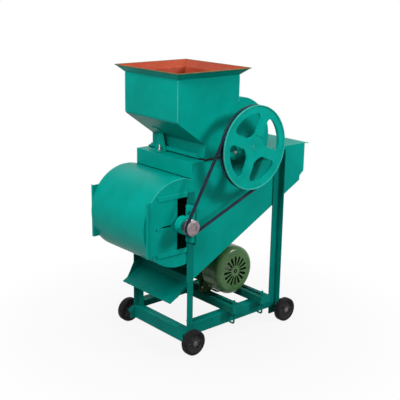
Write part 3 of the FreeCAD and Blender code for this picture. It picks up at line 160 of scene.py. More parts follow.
# Red-lead primer left showing inside the hopper: chalky orange-red, rubbed paler by the bulbs
PRIMER = surface("brushed_red_lead_primer", ("ad4930", "9c3d27", "c98468"), (130, 0.35, 0.7),
                 (24, 0.5, 0.85, 0.25), (2.0, 0.04), {"IOR": 1.5, "Specular IOR Level": 0.15}, (0.6, 0.75))
# Near-black paint inside the fan as painted shade: dull, with brown skin dust
SHADE_BLACK = surface("near_black_painted_shade_in_the_fan", ("15100e", "0e0b0a", "4d3b2a"), (60, 0.35, 0.7),
                  (12, 0.5, 0.85, 0.25), (2.0, 0.04), {"IOR": 1.5, "Specular IOR Level": 0.08}, (0.6, 0.8))
# The teal enamel inside the duct and on the motor's rails: deeper as painted shade, and dulled by skin dust
SHADED_DUCT_TEAL = surface("teal_enamel_deepened_as_shade_in_the_duct", ("00695d", "005a50", "5c5a46"), (70, 0.35, 0.7),
                    (14, 0.5, 0.85, 0.25), (2.0, 0.04), PAINT, (0.55, 0.7))
# Paler teal on a bent or welded corner and on the big wheel's lip: a painted highlight that reads as a light
# line
PAINTED_HIGHLIGHT_TEAL = surface("teal_painted_highlight_on_a_corner", ("3fb3a6", "2ea396", "7fcabf"), (70, 0.35, 0.7),
                      (10, 0.5, 0.8, 0.3), (2.0, 0.03), PAINT, (0.4, 0.5))
# The folded rim, where primer and bare metal show through the rubbed enamel: an olive-brown line
RUBBED_RIM = surface("enamel_rubbed_to_primer", ("7a6a3c", "4f6a55", "b06a44"), (35, 0.35, 0.7),
                     (9, 0.5, 0.8, 0.4), (1.5, 0.04), PAINT, (0.45, 0.6))
# Zinc-plated steel of nuts and bolts: a light, slightly cloudy grey with a soft glitter
ZINC = surface("zinc_plated_steel", ("b9bbb8", "96988f", "8a8678"), (16, 0.35, 0.7), (5, 0.5, 0.8, 0.3),
               (0.6, 0.01), METAL, (0.3, 0.48))
# Turned mild steel: fine tool marks, drawn at twice their real spacing to show, and a warm grey tarnish
TURNED = surface("turned_mild_steel", ("92868a", "7d7276", "6d605c"), (18, 0.35, 0.7), (6, 0.5, 0.8, 0.3),
                 (0.8, 0.015), METAL, (0.42, 0.58))
# Hot-rolled steel inside the machine: dark mill scale rubbed brighter in patches
MILL_STEEL = surface("hot_rolled_mild_steel", ("6e6c6a", "55504c", "7a5a44"), (30, 0.35, 0.7),
                     (9, 0.55, 0.85, 0.3), (1.6, 0.03), METAL, (0.46, 0.62))
# Solid rubber tyre: near black, matt, greyed by dust where it rolls
TYRE = surface("moulded_rubber_tyre", ("1b1a1c", "141315", "4a4543"), (25, 0.35, 0.7), (9, 0.45, 0.8, 0.35),
               (1.0, 0.06), RUBBER, (0.6, 0.8))
# Injection-moulded nylon hub: dark grey with a low, even gloss
HUB_NYLON = surface("moulded_nylon_hub", ("353337", "2a292c", "66605d"), (22, 0.35, 0.7), (8, 0.5, 0.8, 0.3),
                    (1.2, 0.03), RUBBER, (0.45, 0.6))
# Cloth-faced V-belt: blue-black canvas skin, drawn at twice its real weave so that it shows
BELT = surface("cloth_faced_v_belt", ("1f2a38", "18212c", "47525c"), (40, 0.35, 0.7), (7, 0.45, 0.8, 0.28),
               (1.4, 0.09), RUBBER, (0.66, 0.82))
# Vulcanised rubber pads that rub the bulbs: matt black with brown skin dust
PAD_RUBBER = surface("vulcanised_rubber_pad", ("222222", "191919", "6a5642"), (30, 0.35, 0.7),
                     (10, 0.45, 0.8, 0.35), (1.2, 0.05), RUBBER, (0.66, 0.85))
# Nitrile rubber seals and the casing's gasket: black with a slight sheen
SEAL = surface("nitrile_rubber_seal", ("161617", "0f0f10", "3a3938"), (20, 0.35, 0.7), (7, 0.5, 0.8, 0.2),
               (0.9, 0.03), RUBBER, (0.5, 0.65))
# Glass-filled nylon of the motor's fan and gland: satin black, and near black also as painted shade where the
# fan shows through the cover's slots
NYLON = surface("glass_filled_nylon", ("0f1010", "0a0b0b", "2c2b2a"), (20, 0.35, 0.7), (7, 0.5, 0.8, 0.18),
                (1.0, 0.03), RUBBER, (0.46, 0.6))


# Shapes: grids of points worked out as whole arrays
def net(points, wrap=False):
    """A grid of points, closed round its columns, as a list of points and blocks of faces.

    Each point is joined to the next in its row and to the row above. With wrap the last row meets the
    first, and otherwise the first and last rows are closed by one flat face each.
    """
    rows, columns = points.shape[:2]
    index = np.arange(rows * columns).reshape(rows, columns)
    blocks = [] if wrap else [index[:1], index[-1:]]
    if wrap:
        index = np.vstack([index, index[:1]])
    after = np.roll(index, -1, axis=1)
    blocks.append(np.stack([index[:-1], after[:-1], after[1:], index[1:]], axis=-1).reshape(-1, 4))
    return points.reshape(-1, 3), blocks


def axes(axis):
    """Two directions across an axis and the axis itself, all of length one."""
    along = np.array(axis, float) / np.linalg.norm(axis)
    helper = np.array((0.0, 0.0, 1.0)) if abs(along[2]) < 0.9 else np.array((1.0, 0.0, 0.0))
    first = np.cross(helper, along)
    first /= np.linalg.norm(first)
    return first, np.cross(along, first), along


def turned(rows, centre, axis, steps=48, wrap=False):
    """A profile turned about an axis: rows of a radius, a place along the axis and a width across flats.

    A point lies at radius * (cos a, sin a) across the axis, at its place along it. Where the width w is
    over nothing, the radius is at most w / 2 / cos(a mod 60 - 30), so that the row is a hexagon.
    """
    rows = np.array([tuple(row) + (0,) * (3 - len(row)) for row in rows], float)
    angle = np.linspace(0, 2 * np.pi, steps, endpoint=False)
    flats = rows[:, 2:] / 2 / np.cos(np.mod(angle, np.pi / 3) - np.pi / 6)
    radius = np.where(rows[:, 2:] > 0, np.minimum(rows[:, :1], flats), rows[:, :1])
    return net(placed(radius, np.repeat(rows[:, 1:2], steps, axis=1), angle, centre, axis), wrap)


def placed(radius, along, angle, centre, axis):
    """Points round an axis, from grids of radius and place along it and a row or grid of angles."""
    first, second, way = axes(axis)
    around = np.cos(angle)[..., None] * first + np.sin(angle)[..., None] * second
    return np.array(centre, float) + radius[..., None] * around + along[..., None] * way


def threaded(radius, pitch, length, centre, axis, steps=16):
    """A screw thread: the radius falls by up to 0.28 of the pitch as (place / pitch - angle / 360) runs round.

    The fall is 2 * |fraction - 1/2|, a triangle wave, and both ends taper over one pitch.
    """
    angle = np.linspace(0, 2 * np.pi, steps, endpoint=False)
    place = np.linspace(0, length, int(length / pitch * 5) + 1)[:, None]
    wave = np.abs(np.mod(place / pitch - angle / (2 * np.pi), 1.0) - 0.5) * 2
    taper = np.clip(np.minimum(place, length - place) / pitch, 0, 1)
    depth = pitch * 0.28
    grid = radius - depth * wave - depth * (1 - taper)
    return net(placed(grid, place + 0 * angle, angle, centre, axis))


def bead(start, end, size=3.2, pitch=3.0):
    """A weld bead: a tube whose radius is (0.8 + 0.2 * |sin(pi * s / pitch)|) * size, rounded at both ends."""
    start, end = np.array(start, float), np.array(end, float)
    length = np.linalg.norm(end - start)
    place = np.linspace(0, length, max(int(length / pitch * 4), 8))[:, None]
    ripple = 0.8 + 0.2 * np.abs(np.sin(np.pi * place / pitch))
    from_end = np.clip(np.minimum(place, length - place) / size, 0, 1)
    radius = size * ripple * np.sqrt(1 - (1 - from_end) ** 2 * 0.9)
    angle = np.linspace(0, 2 * np.pi, 10, endpoint=False)
    return net(placed(radius + 0 * angle, place + 0 * angle, angle, start, end - start))


def piece(name, shapes, node, replaces=(), sharp=32, body=None):
    """One object from pairs of finish and shape, shaded smooth up to an angle and put on a node's body."""
    finishes = list(dict.fromkeys(finish for finish, _ in shapes))
    points, faces, marks, start = [], [], [], 0
    for finish, (own_points, blocks) in shapes:
        points.append(own_points * MM)
        for block in blocks:
            faces.extend((block + start).tolist())
            marks.extend([finishes.index(finish)] * len(block))
        start += len(own_points)
    mesh = bpy.data.meshes.new(name)
    mesh.from_pydata(np.concatenate(points).tolist(), [], faces)
    for finish in finishes:
        mesh.materials.append(finish)
    mesh.polygons.foreach_set("material_index", marks)
    work = bmesh.new()
    work.from_mesh(mesh)
    bmesh.ops.recalc_face_normals(work, faces=work.faces)
    work.to_mesh(mesh)
    work.free()
    mesh.shade_smooth()
    mesh.set_sharp_from_angle(angle=math.radians(sharp))
    return settle(name, mesh, node, replaces, body)


def settle(name, mesh, node, replaces=(), body=None):
    """Put a mesh into the scene on a node's body and slot or on those given, for the nodes it replaces."""
    item = bpy.data.objects.new(name, mesh)
    bpy.context.collection.objects.link(item)
    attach(item, body or BODY_OF[node])
    if replaces:
        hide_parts(*replaces)
    return item


def dressed(node, finish, edge, inside=None, inner_finish=None):
    """A node's own solid as one clean skin with its edges rounded over by edge mm.

    Its loose triangles are merged and its flat faces joined. Faces that look towards the point inside, where
    (point - centre) . normal is over nothing, take the inner finish: red primer in the hopper, enamel on the
    drum shaft's end, and painted shade inside the fan, the casing and the duct.
    """
    sharp_from = math.radians(34)
    mesh = frame["nodes"][node].data.copy()
    work = bmesh.new()
    work.from_mesh(mesh)
    bmesh.ops.remove_doubles(work, verts=work.verts, dist=0.02 * MM)
    bmesh.ops.dissolve_limit(work, angle_limit=math.radians(1), verts=work.verts, edges=work.edges)
    work.to_mesh(mesh)
    work.free()
    mesh.materials.clear()
    mesh.materials.append(finish)
    count = len(mesh.polygons)
    marks = np.zeros(count, np.int32)
    if inner_finish:
        mesh.materials.append(inner_finish)
        centre, normal = np.zeros(count * 3, np.float32), np.zeros(count * 3, np.float32)
        mesh.polygons.foreach_get("center", centre)
        mesh.polygons.foreach_get("normal", normal)
        towards = np.array(inside) - centre.reshape(-1, 3) / MM
        marks = ((towards * normal.reshape(-1, 3)).sum(1) > 0).astype(np.int32)
    mesh.polygons.foreach_set("material_index", marks)
    mesh.shade_smooth()
    mesh.set_sharp_from_angle(angle=sharp_from)
    item = settle(node + "_skin", mesh, node, (node,))
    rounding = round_edges(item, edge, sharp_from)
    rounding.miter_outer = "MITER_ARC"
    evened = item.modifiers.new("flat_faces_stay_flat", "WEIGHTED_NORMAL")
    evened.keep_sharp = True


def round_edges(item, width, from_angle):
    """Round over an item's edges by width mm where two faces meet at more than an angle."""
    rounding = item.modifiers.new("rounded_edges", "BEVEL")
    rounding.width = width * MM
    rounding.segments = 2
    rounding.limit_method = "ANGLE"
    rounding.angle_limit = from_angle
    return rounding


def looped(arcs, section, across, up, steps):
    """A closed band: arcs joined by straight runs, with a section carried round them.

    Each arc has a centre (two values), a radius and a first and last angle. A point of the band is
    centre + (radius + out) * (cos a, sin a) in the plane of across and up, plus side * (across x up),
    where the section lists pairs of out and side.
    """
    rows = np.vstack([
        np.column_stack([np.tile((*centre, radius), (steps, 1)), np.linspace(first, last, steps)])
        for centre, radius, first, last in arcs])
    section = np.array(section, float)
    reach = rows[:, 2:3] + section[None, :, 0]
    flat_across = rows[:, 0:1] + reach * np.cos(rows[:, 3:4])
    flat_up = rows[:, 1:2] + reach * np.sin(rows[:, 3:4])
    across, up = np.array(across, float), np.array(up, float)
    points = flat_across[..., None] * across + flat_up[..., None] * up
    return net(points + section[None, :, 1, None] * np.cross(across, up), wrap=True)


def bent_rod(path, radius, across, steps=14):
    """A round rod along a flat path: path + radius * (cos a * across + sin a * (direction x across))."""
    path = np.array(path, float)
    way = np.gradient(path, axis=0)
    way /= np.linalg.norm(way, axis=1, keepdims=True)
    across = np.array(across, float)
    angle = np.linspace(0, 2 * np.pi, steps, endpoint=False)
    ring = np.cos(angle)[:, None] * across + np.sin(angle)[:, None] * np.cross(way, across)[:, None, :]
    return net(path[:, None, :] + radius * ring)


def slab(outline, offset):
    """A flat plate: an outline of corners and the same outline moved by offset."""
    outline = np.array(outline, float)
    return net(np.stack([outline, outline + np.array(offset, float)]))


def bolt_head(foot, axis, corner, height, washer=0.0, finish=ZINC):
    """A washer and a hexagonal head with its corners turned off, standing on foot along axis.

    Both are profiles turned about the axis, the head clipped to a hexagon of the given corner radius.
    """
    flats = corner * math.sqrt(3)
    plate = 0.16 * height if washer else 0.0
    shapes = []
    if washer:
        shapes.append((finish, turned([(washer - 0.4, 0), (washer, 0.3), (washer, plate - 0.3),
                                       (washer - 0.4, plate)], foot, axis, 36)))
    shapes.append((finish, turned([
        (corner * 0.9, plate, flats), (corner, plate + 0.5, flats), (corner, height * 0.84, flats),
        (corner * 0.93, height * 0.93, flats), (corner * 0.85, height, 0), (corner * 0.6, height - 0.25, 0)],
        foot, axis, 72)))
    return shapes


def hex_nut(foot, axis, corner, height, bolt, beyond, finish=ZINC):
    """A nut turned off at both faces, and the threaded end of its bolt standing out beyond it."""
    flats = corner * math.sqrt(3)
    nut = turned([(bolt, 0.4), (corner * 0.86, 0, 0), (corner * 0.93, height * 0.08, flats),
                  (corner, height * 0.16, flats), (corner, height * 0.84, flats),
                  (corner * 0.93, height * 0.92, flats), (corner * 0.86, height, 0), (bolt, height - 0.4)],
                 foot, axis, 72, wrap=True)
    return [(finish, nut), (finish, threaded(bolt, 1.5, height + beyond, foot, axis))]


def pan_head(foot, axis, radius, height):
    """A domed screw head: its radius falls as the square root of 1 - 0.92 * (place / height) squared."""
    place = np.linspace(0, 1, 8)
    dome = np.sqrt(np.clip(1 - 0.92 * place ** 2, 0, 1))
    return (ZINC, turned(np.column_stack([radius * dome, height * place]), foot, axis, 24))


# Stage: camera, floor, world and lamps
def make_camera():
    """The photograph's own view, found from the machine's edges, with a focal length in pixels."""
    focal_length, film_width = 806.47, 36
    place = Vector((-2095.3, -2341.2, 1416.3)) * MM
    yaw, pitch, roll = (math.radians(angle) for angle in (41.559, -15.688, 0.967))
    ahead = Vector((math.cos(pitch) * math.sin(yaw), math.cos(pitch) * math.cos(yaw), math.sin(pitch)))
    level = Vector((math.cos(yaw), -math.sin(yaw), 0))
    above = level.cross(ahead)
    right = math.cos(roll) * level + math.sin(roll) * above
    top = math.cos(roll) * above - math.sin(roll) * level
    data = bpy.data.cameras.new("camera")
    data.sensor_width = film_width
    data.lens = focal_length / IMAGE_SIDE * film_width
    camera = bpy.data.objects.new("camera", data)
    camera.matrix_world = Matrix((
        (right.x, top.x, -ahead.x, place.x), (right.y, top.y, -ahead.y, place.y),
        (right.z, top.z, -ahead.z, place.z), (0, 0, 0, 1)))
    bpy.context.collection.objects.link(camera)
    bpy.context.scene.camera = camera


def make_lamp(name, place, target, side, power):
    """A soft square lamp of side metres, aimed at a point."""
    data = bpy.data.lights.new(name, "AREA")
    data.energy = power
    data.size = side
    lamp = bpy.data.objects.new(name, data)
    lamp.location = place
    lamp.rotation_euler = (Vector(target) - Vector(place)).to_track_quat("-Z", "Y").to_euler()
    bpy.context.collection.objects.link(lamp)


def seen(tree):
    """1 for rays from the camera, also by way of a mirror or a clear piece, and 0 for those that light."""
    rays = add(tree, "ShaderNodeLightPath")
    mirrored = add(tree, "ShaderNodeMath", {"operation": "MAXIMUM"},
                   {0: rays.outputs["Is Glossy Ray"], 1: rays.outputs["Is Transmission Ray"]})
    either = add(tree, "ShaderNodeMath", {"operation": "MAXIMUM"},
                 {0: rays.outputs["Is Camera Ray"], 1: mirrored.outputs[0]})
    return either.outputs[0]


def make_floor():
    """White paper: it keeps the machine's shadow near it and whitens out with distance for what is seen."""
    mesh = bpy.data.meshes.new("floor")
    reach = 14.0
    mesh.from_pydata([(-reach, -reach, 0), (reach, -reach, 0), (reach, reach, 0), (-reach, reach, 0)], [],
                     [(0, 1, 2, 3)])
    floor = bpy.data.objects.new("floor", mesh)
    bpy.context.collection.objects.link(floor)
    material, tree, place = new_material("white_paper_floor")
    far = add(tree, "ShaderNodeVectorMath", {"operation": "LENGTH"}, {0: place})
    fade = add(tree, "ShaderNodeMapRange", {"From Min": 0.3, "From Max": 1.0, "To Min": 0.9, "To Max": 1.0},
               {"Value": far.outputs["Value"]})
    share = add(tree, "ShaderNodeMath", {"operation": "MULTIPLY"}, {0: seen(tree), 1: fade.outputs["Result"]})
    paper = add(tree, "ShaderNodeBsdfDiffuse", {"Color": linear("9a9a9a")})
    white = add(tree, "ShaderNodeEmission", {"Color": linear("ffffff"), "Strength": 1.0})
    both = add(tree, "ShaderNodeMixShader",
               links={0: share.outputs[0], 1: paper.outputs[0], 2: white.outputs[0]})
    add(tree, "ShaderNodeOutputMaterial", links={"Surface": both.outputs[0]})
    mesh.materials.append(material)


def make_world():
    """An even studio: a plain grey light on the machine, and pure white where the world itself is seen."""
    world = bpy.data.worlds.new("studio")
    bpy.context.scene.world = world
    world.use_nodes = True
    tree = world.node_tree
    tree.nodes.clear()
    plain = add(tree, "ShaderNodeBackground", {"Color": linear("ffffff"), "Strength": 0.2})
    white = add(tree, "ShaderNodeBackground", {"Color": linear("ffffff"), "Strength": 1.0})
    both = add(tree, "ShaderNodeMixShader", links={0: seen(tree), 1: plain.outputs[0], 2: white.outputs[0]})
    add(tree, "ShaderNodeOutputWorld", links={"Surface": both.outputs[0]})


make_camera()
make_floor()
make_world()
make_lamp("key", (2.0, -2.6, 2.5), (0, 0, 0.75), 0.8, 94)
make_lamp("fill", (-2.7, -1.0, 3.1), (0, 0, 0.7), 1.8, 125)
make_lamp("rim", (0.8, 2.6, 2.6), (0, 0, 0.6), 2.0, 12)

# Sheet metal and castings: the imported solids with rounded edges. The faces of a piece that look towards a
# point inside it take another finish: red primer in the hopper, and painted shade inside the fan, the casing,
# the throat, the side plates and the duct
INSIDE_FINISHES = {
    "hopper": (PRIMER, (-121, 0, 960)), "drum_casing": (SHADED_DUCT_TEAL, (38, 0, 800)),
    "throat_cover": (SHADED_DUCT_TEAL, (-60, 0, 690)), "fan_shell": (SHADE_BLACK, (-263, 0, 526)),
    "fan_end_plate_near": (SHADE_BLACK, (-263, 0, 526)), "fan_end_plate_far": (SHADE_BLACK, (-263, 0, 526)),
    "side_plate_near": (SHADED_DUCT_TEAL, (0, 0, 600)), "side_plate_far": (SHADED_DUCT_TEAL, (0, 0, 600)),
    "duct_floor": (SHADED_DUCT_TEAL, (0, 0, 700)), "outlet_cover": (SHADED_DUCT_TEAL, (300, 0, 690)),
}
for name, (inner_finish, inside) in INSIDE_FINISHES.items():
    dressed(name, TEAL, 0.8, inside, inner_finish)
for name in ("feed_gate", "gate_clips", "hopper_stay", "air_shutter_near", "air_shutter_far", "shutter_guides"):
    dressed(name, TEAL, 0.7)
# The motor's rails take the teal deepened as painted shade, for the shade under the body
dressed("motor_rails", SHADED_DUCT_TEAL, 0.7)
# The frame, its seats and axles and the chute take the enamel deepened as painted shade
for name in ("clove_chute", "stub_axles", "bearing_beams", "bearing_seats", "base_rail_near", "base_rail_far",
             "end_rails", "leg_left_near", "leg_left_far", "leg_right_near", "leg_right_far"):
    dressed(name, SHADED_FRAME_TEAL, 0.7)
for name in ("drum_bearings", "fan_bearings"):
    dressed(name, CAST_TEAL, 1.2)
dressed("motor_terminal_box", OLIVE, 0.8)
for name in ("motor_housing", "motor_shield_drive", "motor_shield_fan"):
    dressed(name, CAST_OLIVE, 0.8)
for name in ("fan_shaft", "motor_rotor"):
    dressed(name, TURNED, 0.6)
# The shaft's end by the big wheel is sprayed over with the wheel, so what looks that way is enamelled
dressed("drum_shaft", TURNED, 0.6, (38, -1000, 786), CAST_TEAL)
for name in ("drum_spiders", "beater_bars", "bar_screen", "fan_impeller"):
    dressed(name, MILL_STEEL, 0.5)
dressed("rubber_pads", PAD_RUBBER, 1.2)
dressed("casing_gasket", SEAL, 0.5)
dressed("motor_fan", NYLON, 0.5)


# Wheels
def tyre(centre, side):
    """A solid tyre: a profile turned about the axle, with a crowned tread between two shallow grooves."""
    rows = [(36, -12.4), (40.5, -13.8), (45, -14), (47.6, -13.4), (49.3, -11.4), (49.8, -9), (49.2, -8.4),
            (49.2, -7.6), (50, -7), (50, 7), (49.2, 7.6), (49.2, 8.4), (49.8, 9), (49.3, 11.4), (47.6, 13.4),
            (45, 14), (40.5, 13.8), (36, 12.4)]
    return turned(rows, centre, (0, side, 0), 96, wrap=True)


def wheel_hub(centre, side, steps=96):
    """A moulded hub: a profile turned about the axle, its web thickened by eight ribs.

    On the web the half width is 5 + 3.4 * exp(-(sin(4 * angle) / 0.22) squared).
    """
    rows = np.array([(8.2, -8, 0), (19, -8, 0), (20, -7.4, 0), (20.8, -5, 1), (33.6, -5, 1), (34.6, -7.5, 0),
                     (35.2, -11.2, 0), (36, -12.4, 0), (36, 12.4, 0), (35.2, 11.2, 0), (34.6, 7.5, 0),
                     (33.6, 5, 1), (20.8, 5, 1), (20, 7.4, 0), (19, 8, 0), (8.2, 8, 0)], float)
    angle = np.linspace(0, 2 * np.pi, steps, endpoint=False)
    rib = 3.4 * np.exp(-(np.sin(4 * angle) / 0.22) ** 2)
    along = rows[:, 1:2] + np.sign(rows[:, 1:2]) * rows[:, 2:3] * rib
    return net(placed(rows[:, :1] + 0 * angle, along, angle, centre, (0, side, 0)), wrap=True)


def make_wheels():
    """The four wheels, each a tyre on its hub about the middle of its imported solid."""
    for end in ("left", "right"):
        for name, side in SIDES.items():
            node = f"wheel_{end}_{name}"
            centre = sum(ends(node)) / 2
            piece(node + "_tyre_and_hub", [(TYRE, tyre(centre, side)), (HUB_NYLON, wheel_hub(centre, side))],
                  node, (node,))


def make_axle_nuts():
    """Thin nuts on the four stub axles, each with the pin's threaded end just showing."""
    nut_plane = 215.4
    shapes = []
    for end in ("left", "right"):
        for name, side in SIDES.items():
            x, _, z = PIVOT[f"wheel_{end}_{name}"]
            shapes += hex_nut((x, side * nut_plane, z), (0, side, 0), 12, 3.8, 7.6, 1.2, MILL_STEEL)
    piece("axle_nuts_turned", shapes, "axle_nuts", ("axle_nuts",))


# Belts and pulleys
SPOKE_TURNS = (67, 157, 247, 337)
BELT_SECTION = [(4, -5.7), (3.2, -6.25), (-3.3, -4.4), (-4, -3.7), (-4, 3.7), (-3.3, 4.4), (3.2, 6.25),
                (4, 5.7)]


def v_belt(first, second, radii, plane):
    """A V-belt in the plane y = plane, round two pitch circles joined by their outer tangents.

    With e the way from the first centre to the second, the straight runs lie where the normal is turned
    from e by the arc cosine of (first radius - second radius) / distance.
    """
    gap = np.array([second[0] - first[0], second[1] - first[1]])
    way = math.atan2(gap[1], gap[0])
    lean = math.acos((radii[0] - radii[1]) / np.linalg.norm(gap))
    arcs = [(first, radii[0], way + lean, way - lean + 2 * math.pi),
            (second, radii[1], way - lean, way + lean)]
    points, blocks = looped(arcs, BELT_SECTION, (1, 0, 0), (0, 0, 1), steps=72)
    return points + np.array((0, plane, 0)), blocks


def make_belts():
    """The belt from the big wheel to the fan and the one from the fan to the motor."""
    drum, fan, motor = (PIVOT[name][[0, 2]] for name in ("drum", "fan_rotor", "motor_rotor"))
    for node, first, second, radii, plane in (
            ("drum_belt", drum, fan, (DRUM_PITCH, FAN_PITCH), -BELT_PLANE),
            ("motor_belt", fan, motor, (FAN_DRIVE_PITCH, MOTOR_PITCH), BELT_PLANE)):
        piece(node + "_cloth_faced", [(BELT, v_belt(first, second, radii, plane))], node, (node,))


def small_pulley(centre, side, rim, hub, bore):
    """A turned V-pulley, groove and all, in one profile about its shaft, with a set screw in its hub."""
    rows = [(bore + 0.5, -23.5), (hub - 0.8, -23.5), (hub, -22.7), (hub, -12.5), (rim - 0.8, -12.5),
            (rim, -11.7), (rim, -7.6), (rim - 0.4, -7.2), (rim - 11, -4.3), (rim - 11, 4.3), (rim - 0.4, 7.2),
            (rim, 7.7), (rim - 3.6, 11.9), (rim - 4.4, 12.4), (bore + 0.9, 12.7), (bore, 12.2), (bore, -23)]
    way = np.array((0, side, 0), float)
    foot = np.array(centre) - way * 18 + np.array((0, 0, hub - 0.6))
    screw = turned([(3.2, 0), (3.2, 1.2), (2.8, 1.5), (1.5, 1.5), (1.5, 0.4), (0.2, 0.4)], foot, (0, 0, 1), 24)
    return [(TURNED, turned(rows, centre, way, 96, wrap=True)), (ZINC, screw)]


def wheel_spoke(centre, side, turn, steps=9):
    """One spoke of the big wheel, from its hub to its rim, with the corners of the windows cast round.

    A row lies at one radius r, and its half width w there is turned into an angle asin(w / r). Near the hub
    r = hub + small * (1 - cos t) and w = half + small * (1 - sin t), and near the rim
    r = rim - large * (1 - sin t) and w = half + large * (1 - cos t), with t from 0 to 90 degrees. Both edges
    of the web are rounded over 1 mm.
    """
    hub, rim, half, small, large, across = 48, 131, 21, 12.9, 24, 17
    bend = np.linspace(0, np.pi / 2, steps)
    radius = np.concatenate([hub + small * (1 - np.cos(bend)), rim - large + large * np.sin(bend)])[:, None]
    width = np.concatenate([half + small - small * np.sin(bend), half + large - large * np.cos(bend)])[:, None]
    full, bent, flat = (np.arcsin((width - inset) / radius) for inset in (0, 0.3, 1))
    spread = np.hstack([-full, -bent, flat * np.linspace(-1, 1, across), bent, full])
    front, back = ([edge, curve] + [face] * across + [curve, edge]
                   for edge, curve, face in ((8.5, 9.2, 9.5), (1.5, 0.8, 0.5)))
    angle = turn + np.hstack([spread, spread[:, ::-1]])
    return net(placed(radius, np.array(front + back) + 0 * radius, angle, centre, (0, side, 0)))


def make_belt_wheel():
    """The big cast wheel: hub, four spokes and a grooved rim, with a painted highlight ring on its lip, its
    groove dark from belt rubber and from painted shade, and a band of painted shade on its back flange.
    """
    x, _, z = PIVOT["drum"]
    centre, way = (x, -BELT_PLANE, z), (0, -1, 0)
    out = DRUM_PITCH + RIM_OVER_PITCH
    hub = [(12.6, -23), (13, -23.5), (29.4, -23.5), (30, -22.9), (30, 0.5), (48, 0.5), (48, 9.5), (13.2, 9.5),
           (12.6, 8.9)]
    rim = [(139, -12), (139, 0.5), (131, 0.5), (131, 9.5), (out, 9.5), (out, 7.15), (out - 11, 4.4),
           (out - 11, -4.4), (out, -7.15), (out, -12.1), (out - 0.4, -12.5), (139.5, -12.5)]
    # The lip's pale ring is a painted highlight
    lip = [(out - 4.1, 9.4), (out - 4.1, 12.1), (out - 3.7, 12.5), (out - 0.4, 12.5), (out, 12.1), (out, 9.4)]
    # The dark coat in the groove is partly blackening from the belt's rubber and partly painted shade
    dust = [(161, 7.2), (150.9, 4.5), (150.9, -4.5), (161, -7.2), (161, -6.6), (151.4, -4), (151.4, 4),
            (161, 6.6)]
    # A thin dark band on the outside of the back flange is painted shade
    band = [(out - 0.2, -7.4), (out + 0.2, -7.4), (out + 0.2, -12), (out - 0.2, -12)]
    shapes = [(finish, turned(rows, centre, way, 144, wrap=True)) for finish, rows in (
        (CAST_TEAL, hub), (CAST_TEAL, rim), (PAINTED_HIGHLIGHT_TEAL, lip), (BELT, dust), (BELT, band))]
    shapes += [(CAST_TEAL, wheel_spoke(centre, -1, math.radians(turn))) for turn in SPOKE_TURNS]
    piece("drum_pulley_cast", shapes, "drum_pulley", ("drum_pulley",), sharp=20)


def make_small_pulleys():
    """The fan's two pulleys and the motor's, each with its rim a little outside the belt's pitch circle."""
    for node, side, pitch, hub, bore in (
            ("fan_pulley", -1, FAN_PITCH, 20, SHAFT_RADIUS),
            ("fan_drive_pulley", 1, FAN_DRIVE_PITCH, 24, SHAFT_RADIUS),
            ("motor_pulley", 1, MOTOR_PITCH, 24, MOTOR_SHAFT_RADIUS)):
        x, _, z = PIVOT[BODY_OF[node]]
        shapes = small_pulley((x, side * BELT_PLANE, z), side, pitch + RIM_OVER_PITCH, hub, bore)
        piece(node + "_turned", shapes, node, (node,))


# Bearings: inserts, seals, set collars and grease nipples on the pillow blocks
def bearing_insert(centre, side):
    """An outer ring, a rubber seal and the inner ring, each a flat profile turned round the shaft."""
    way = (0, side, 0)
    foot = np.array(centre) + np.array(way) * 19.0
    ring = [(19.5, -0.6), (19.5, 0.35), (20.2, 0.6), (25.2, 0.6), (26, 0.2), (26, -0.6)]
    seal = [(15.6, -0.8), (15.8, 0.2), (17.5, 0.35), (19.4, 0.1), (19.4, -0.8)]
    race = [(12.7, -0.8), (12.9, 0.55), (15.2, 0.55), (15.5, 0.1), (15.5, -0.8)]
    return [(finish, turned(rows, foot, way, 64, wrap=True))
            for finish, rows in ((ZINC, ring), (SEAL, seal), (TURNED, race))]


def grease_nipple(foot, axis, finish):
    """A hexagonal base, a neck and a ball end, in one turned profile."""
    rows = [(4.2, -1, 8), (4.6, 0, 8), (4.6, 3.2, 8), (3.0, 4.0), (2.2, 4.6), (2.2, 5.6), (3.2, 6.6),
            (3.4, 7.6), (2.6, 8.8), (1.0, 9.2)]
    return (finish, turned(rows, foot, axis, 36))


def make_bearing_details():
    """An insert and a grease nipple in each of the four pillow blocks."""
    block_top = 33.6
    for node, body, top in (("drum_bearings", "drum", (0, 0, 1)), ("fan_bearings", "fan_rotor", (-1, 0, 0))):
        x, _, z = PIVOT[body]
        shapes = []
        for side in SIDES.values():
            centre = np.array((x, side * BEARING_PLANE, z))
            foot = centre + np.array(top) * block_top + np.array((0, side * 9, 0))
            shapes += bearing_insert(centre, side)
            shapes.append(grease_nipple(foot, top, CAST_TEAL))
        piece(node + "_inserts", shapes, node)


# Bolts
def make_body_bolts():
    """Bolts through the feet of the four pillow blocks, and a bolt and a nut that hold the hopper's stay."""
    drum_foot_top, fan_foot_face, bolt_spread = 764.5, -242, 52.5
    stay_x, stay_top, bolt_y, stud_y = -183, 752.5, 87, 57
    drum, fan = PIVOT["drum"], PIVOT["fan_rotor"]
    shapes = []
    for side in SIDES.values():
        y = side * BEARING_PLANE
        for shift in (-bolt_spread, bolt_spread):
            shapes += bolt_head((drum[0] + shift, y, drum_foot_top), (0, 0, 1), 9, 8, 11.5)
            shapes += bolt_head((fan_foot_face, y, fan[2] + shift), (-1, 0, 0), 9, 8, 11.5, CAST_TEAL)
    shapes += bolt_head((stay_x, bolt_y, stay_top), (0, 0, 1), 5.5, 5, 6.8, CAST_TEAL)
    shapes += hex_nut((stay_x, stud_y, stay_top), (0, 0, 1), 7.5, 6, 4, 17)
    piece("body_bolts_headed", shapes, "body_bolts", ("body_bolts",))


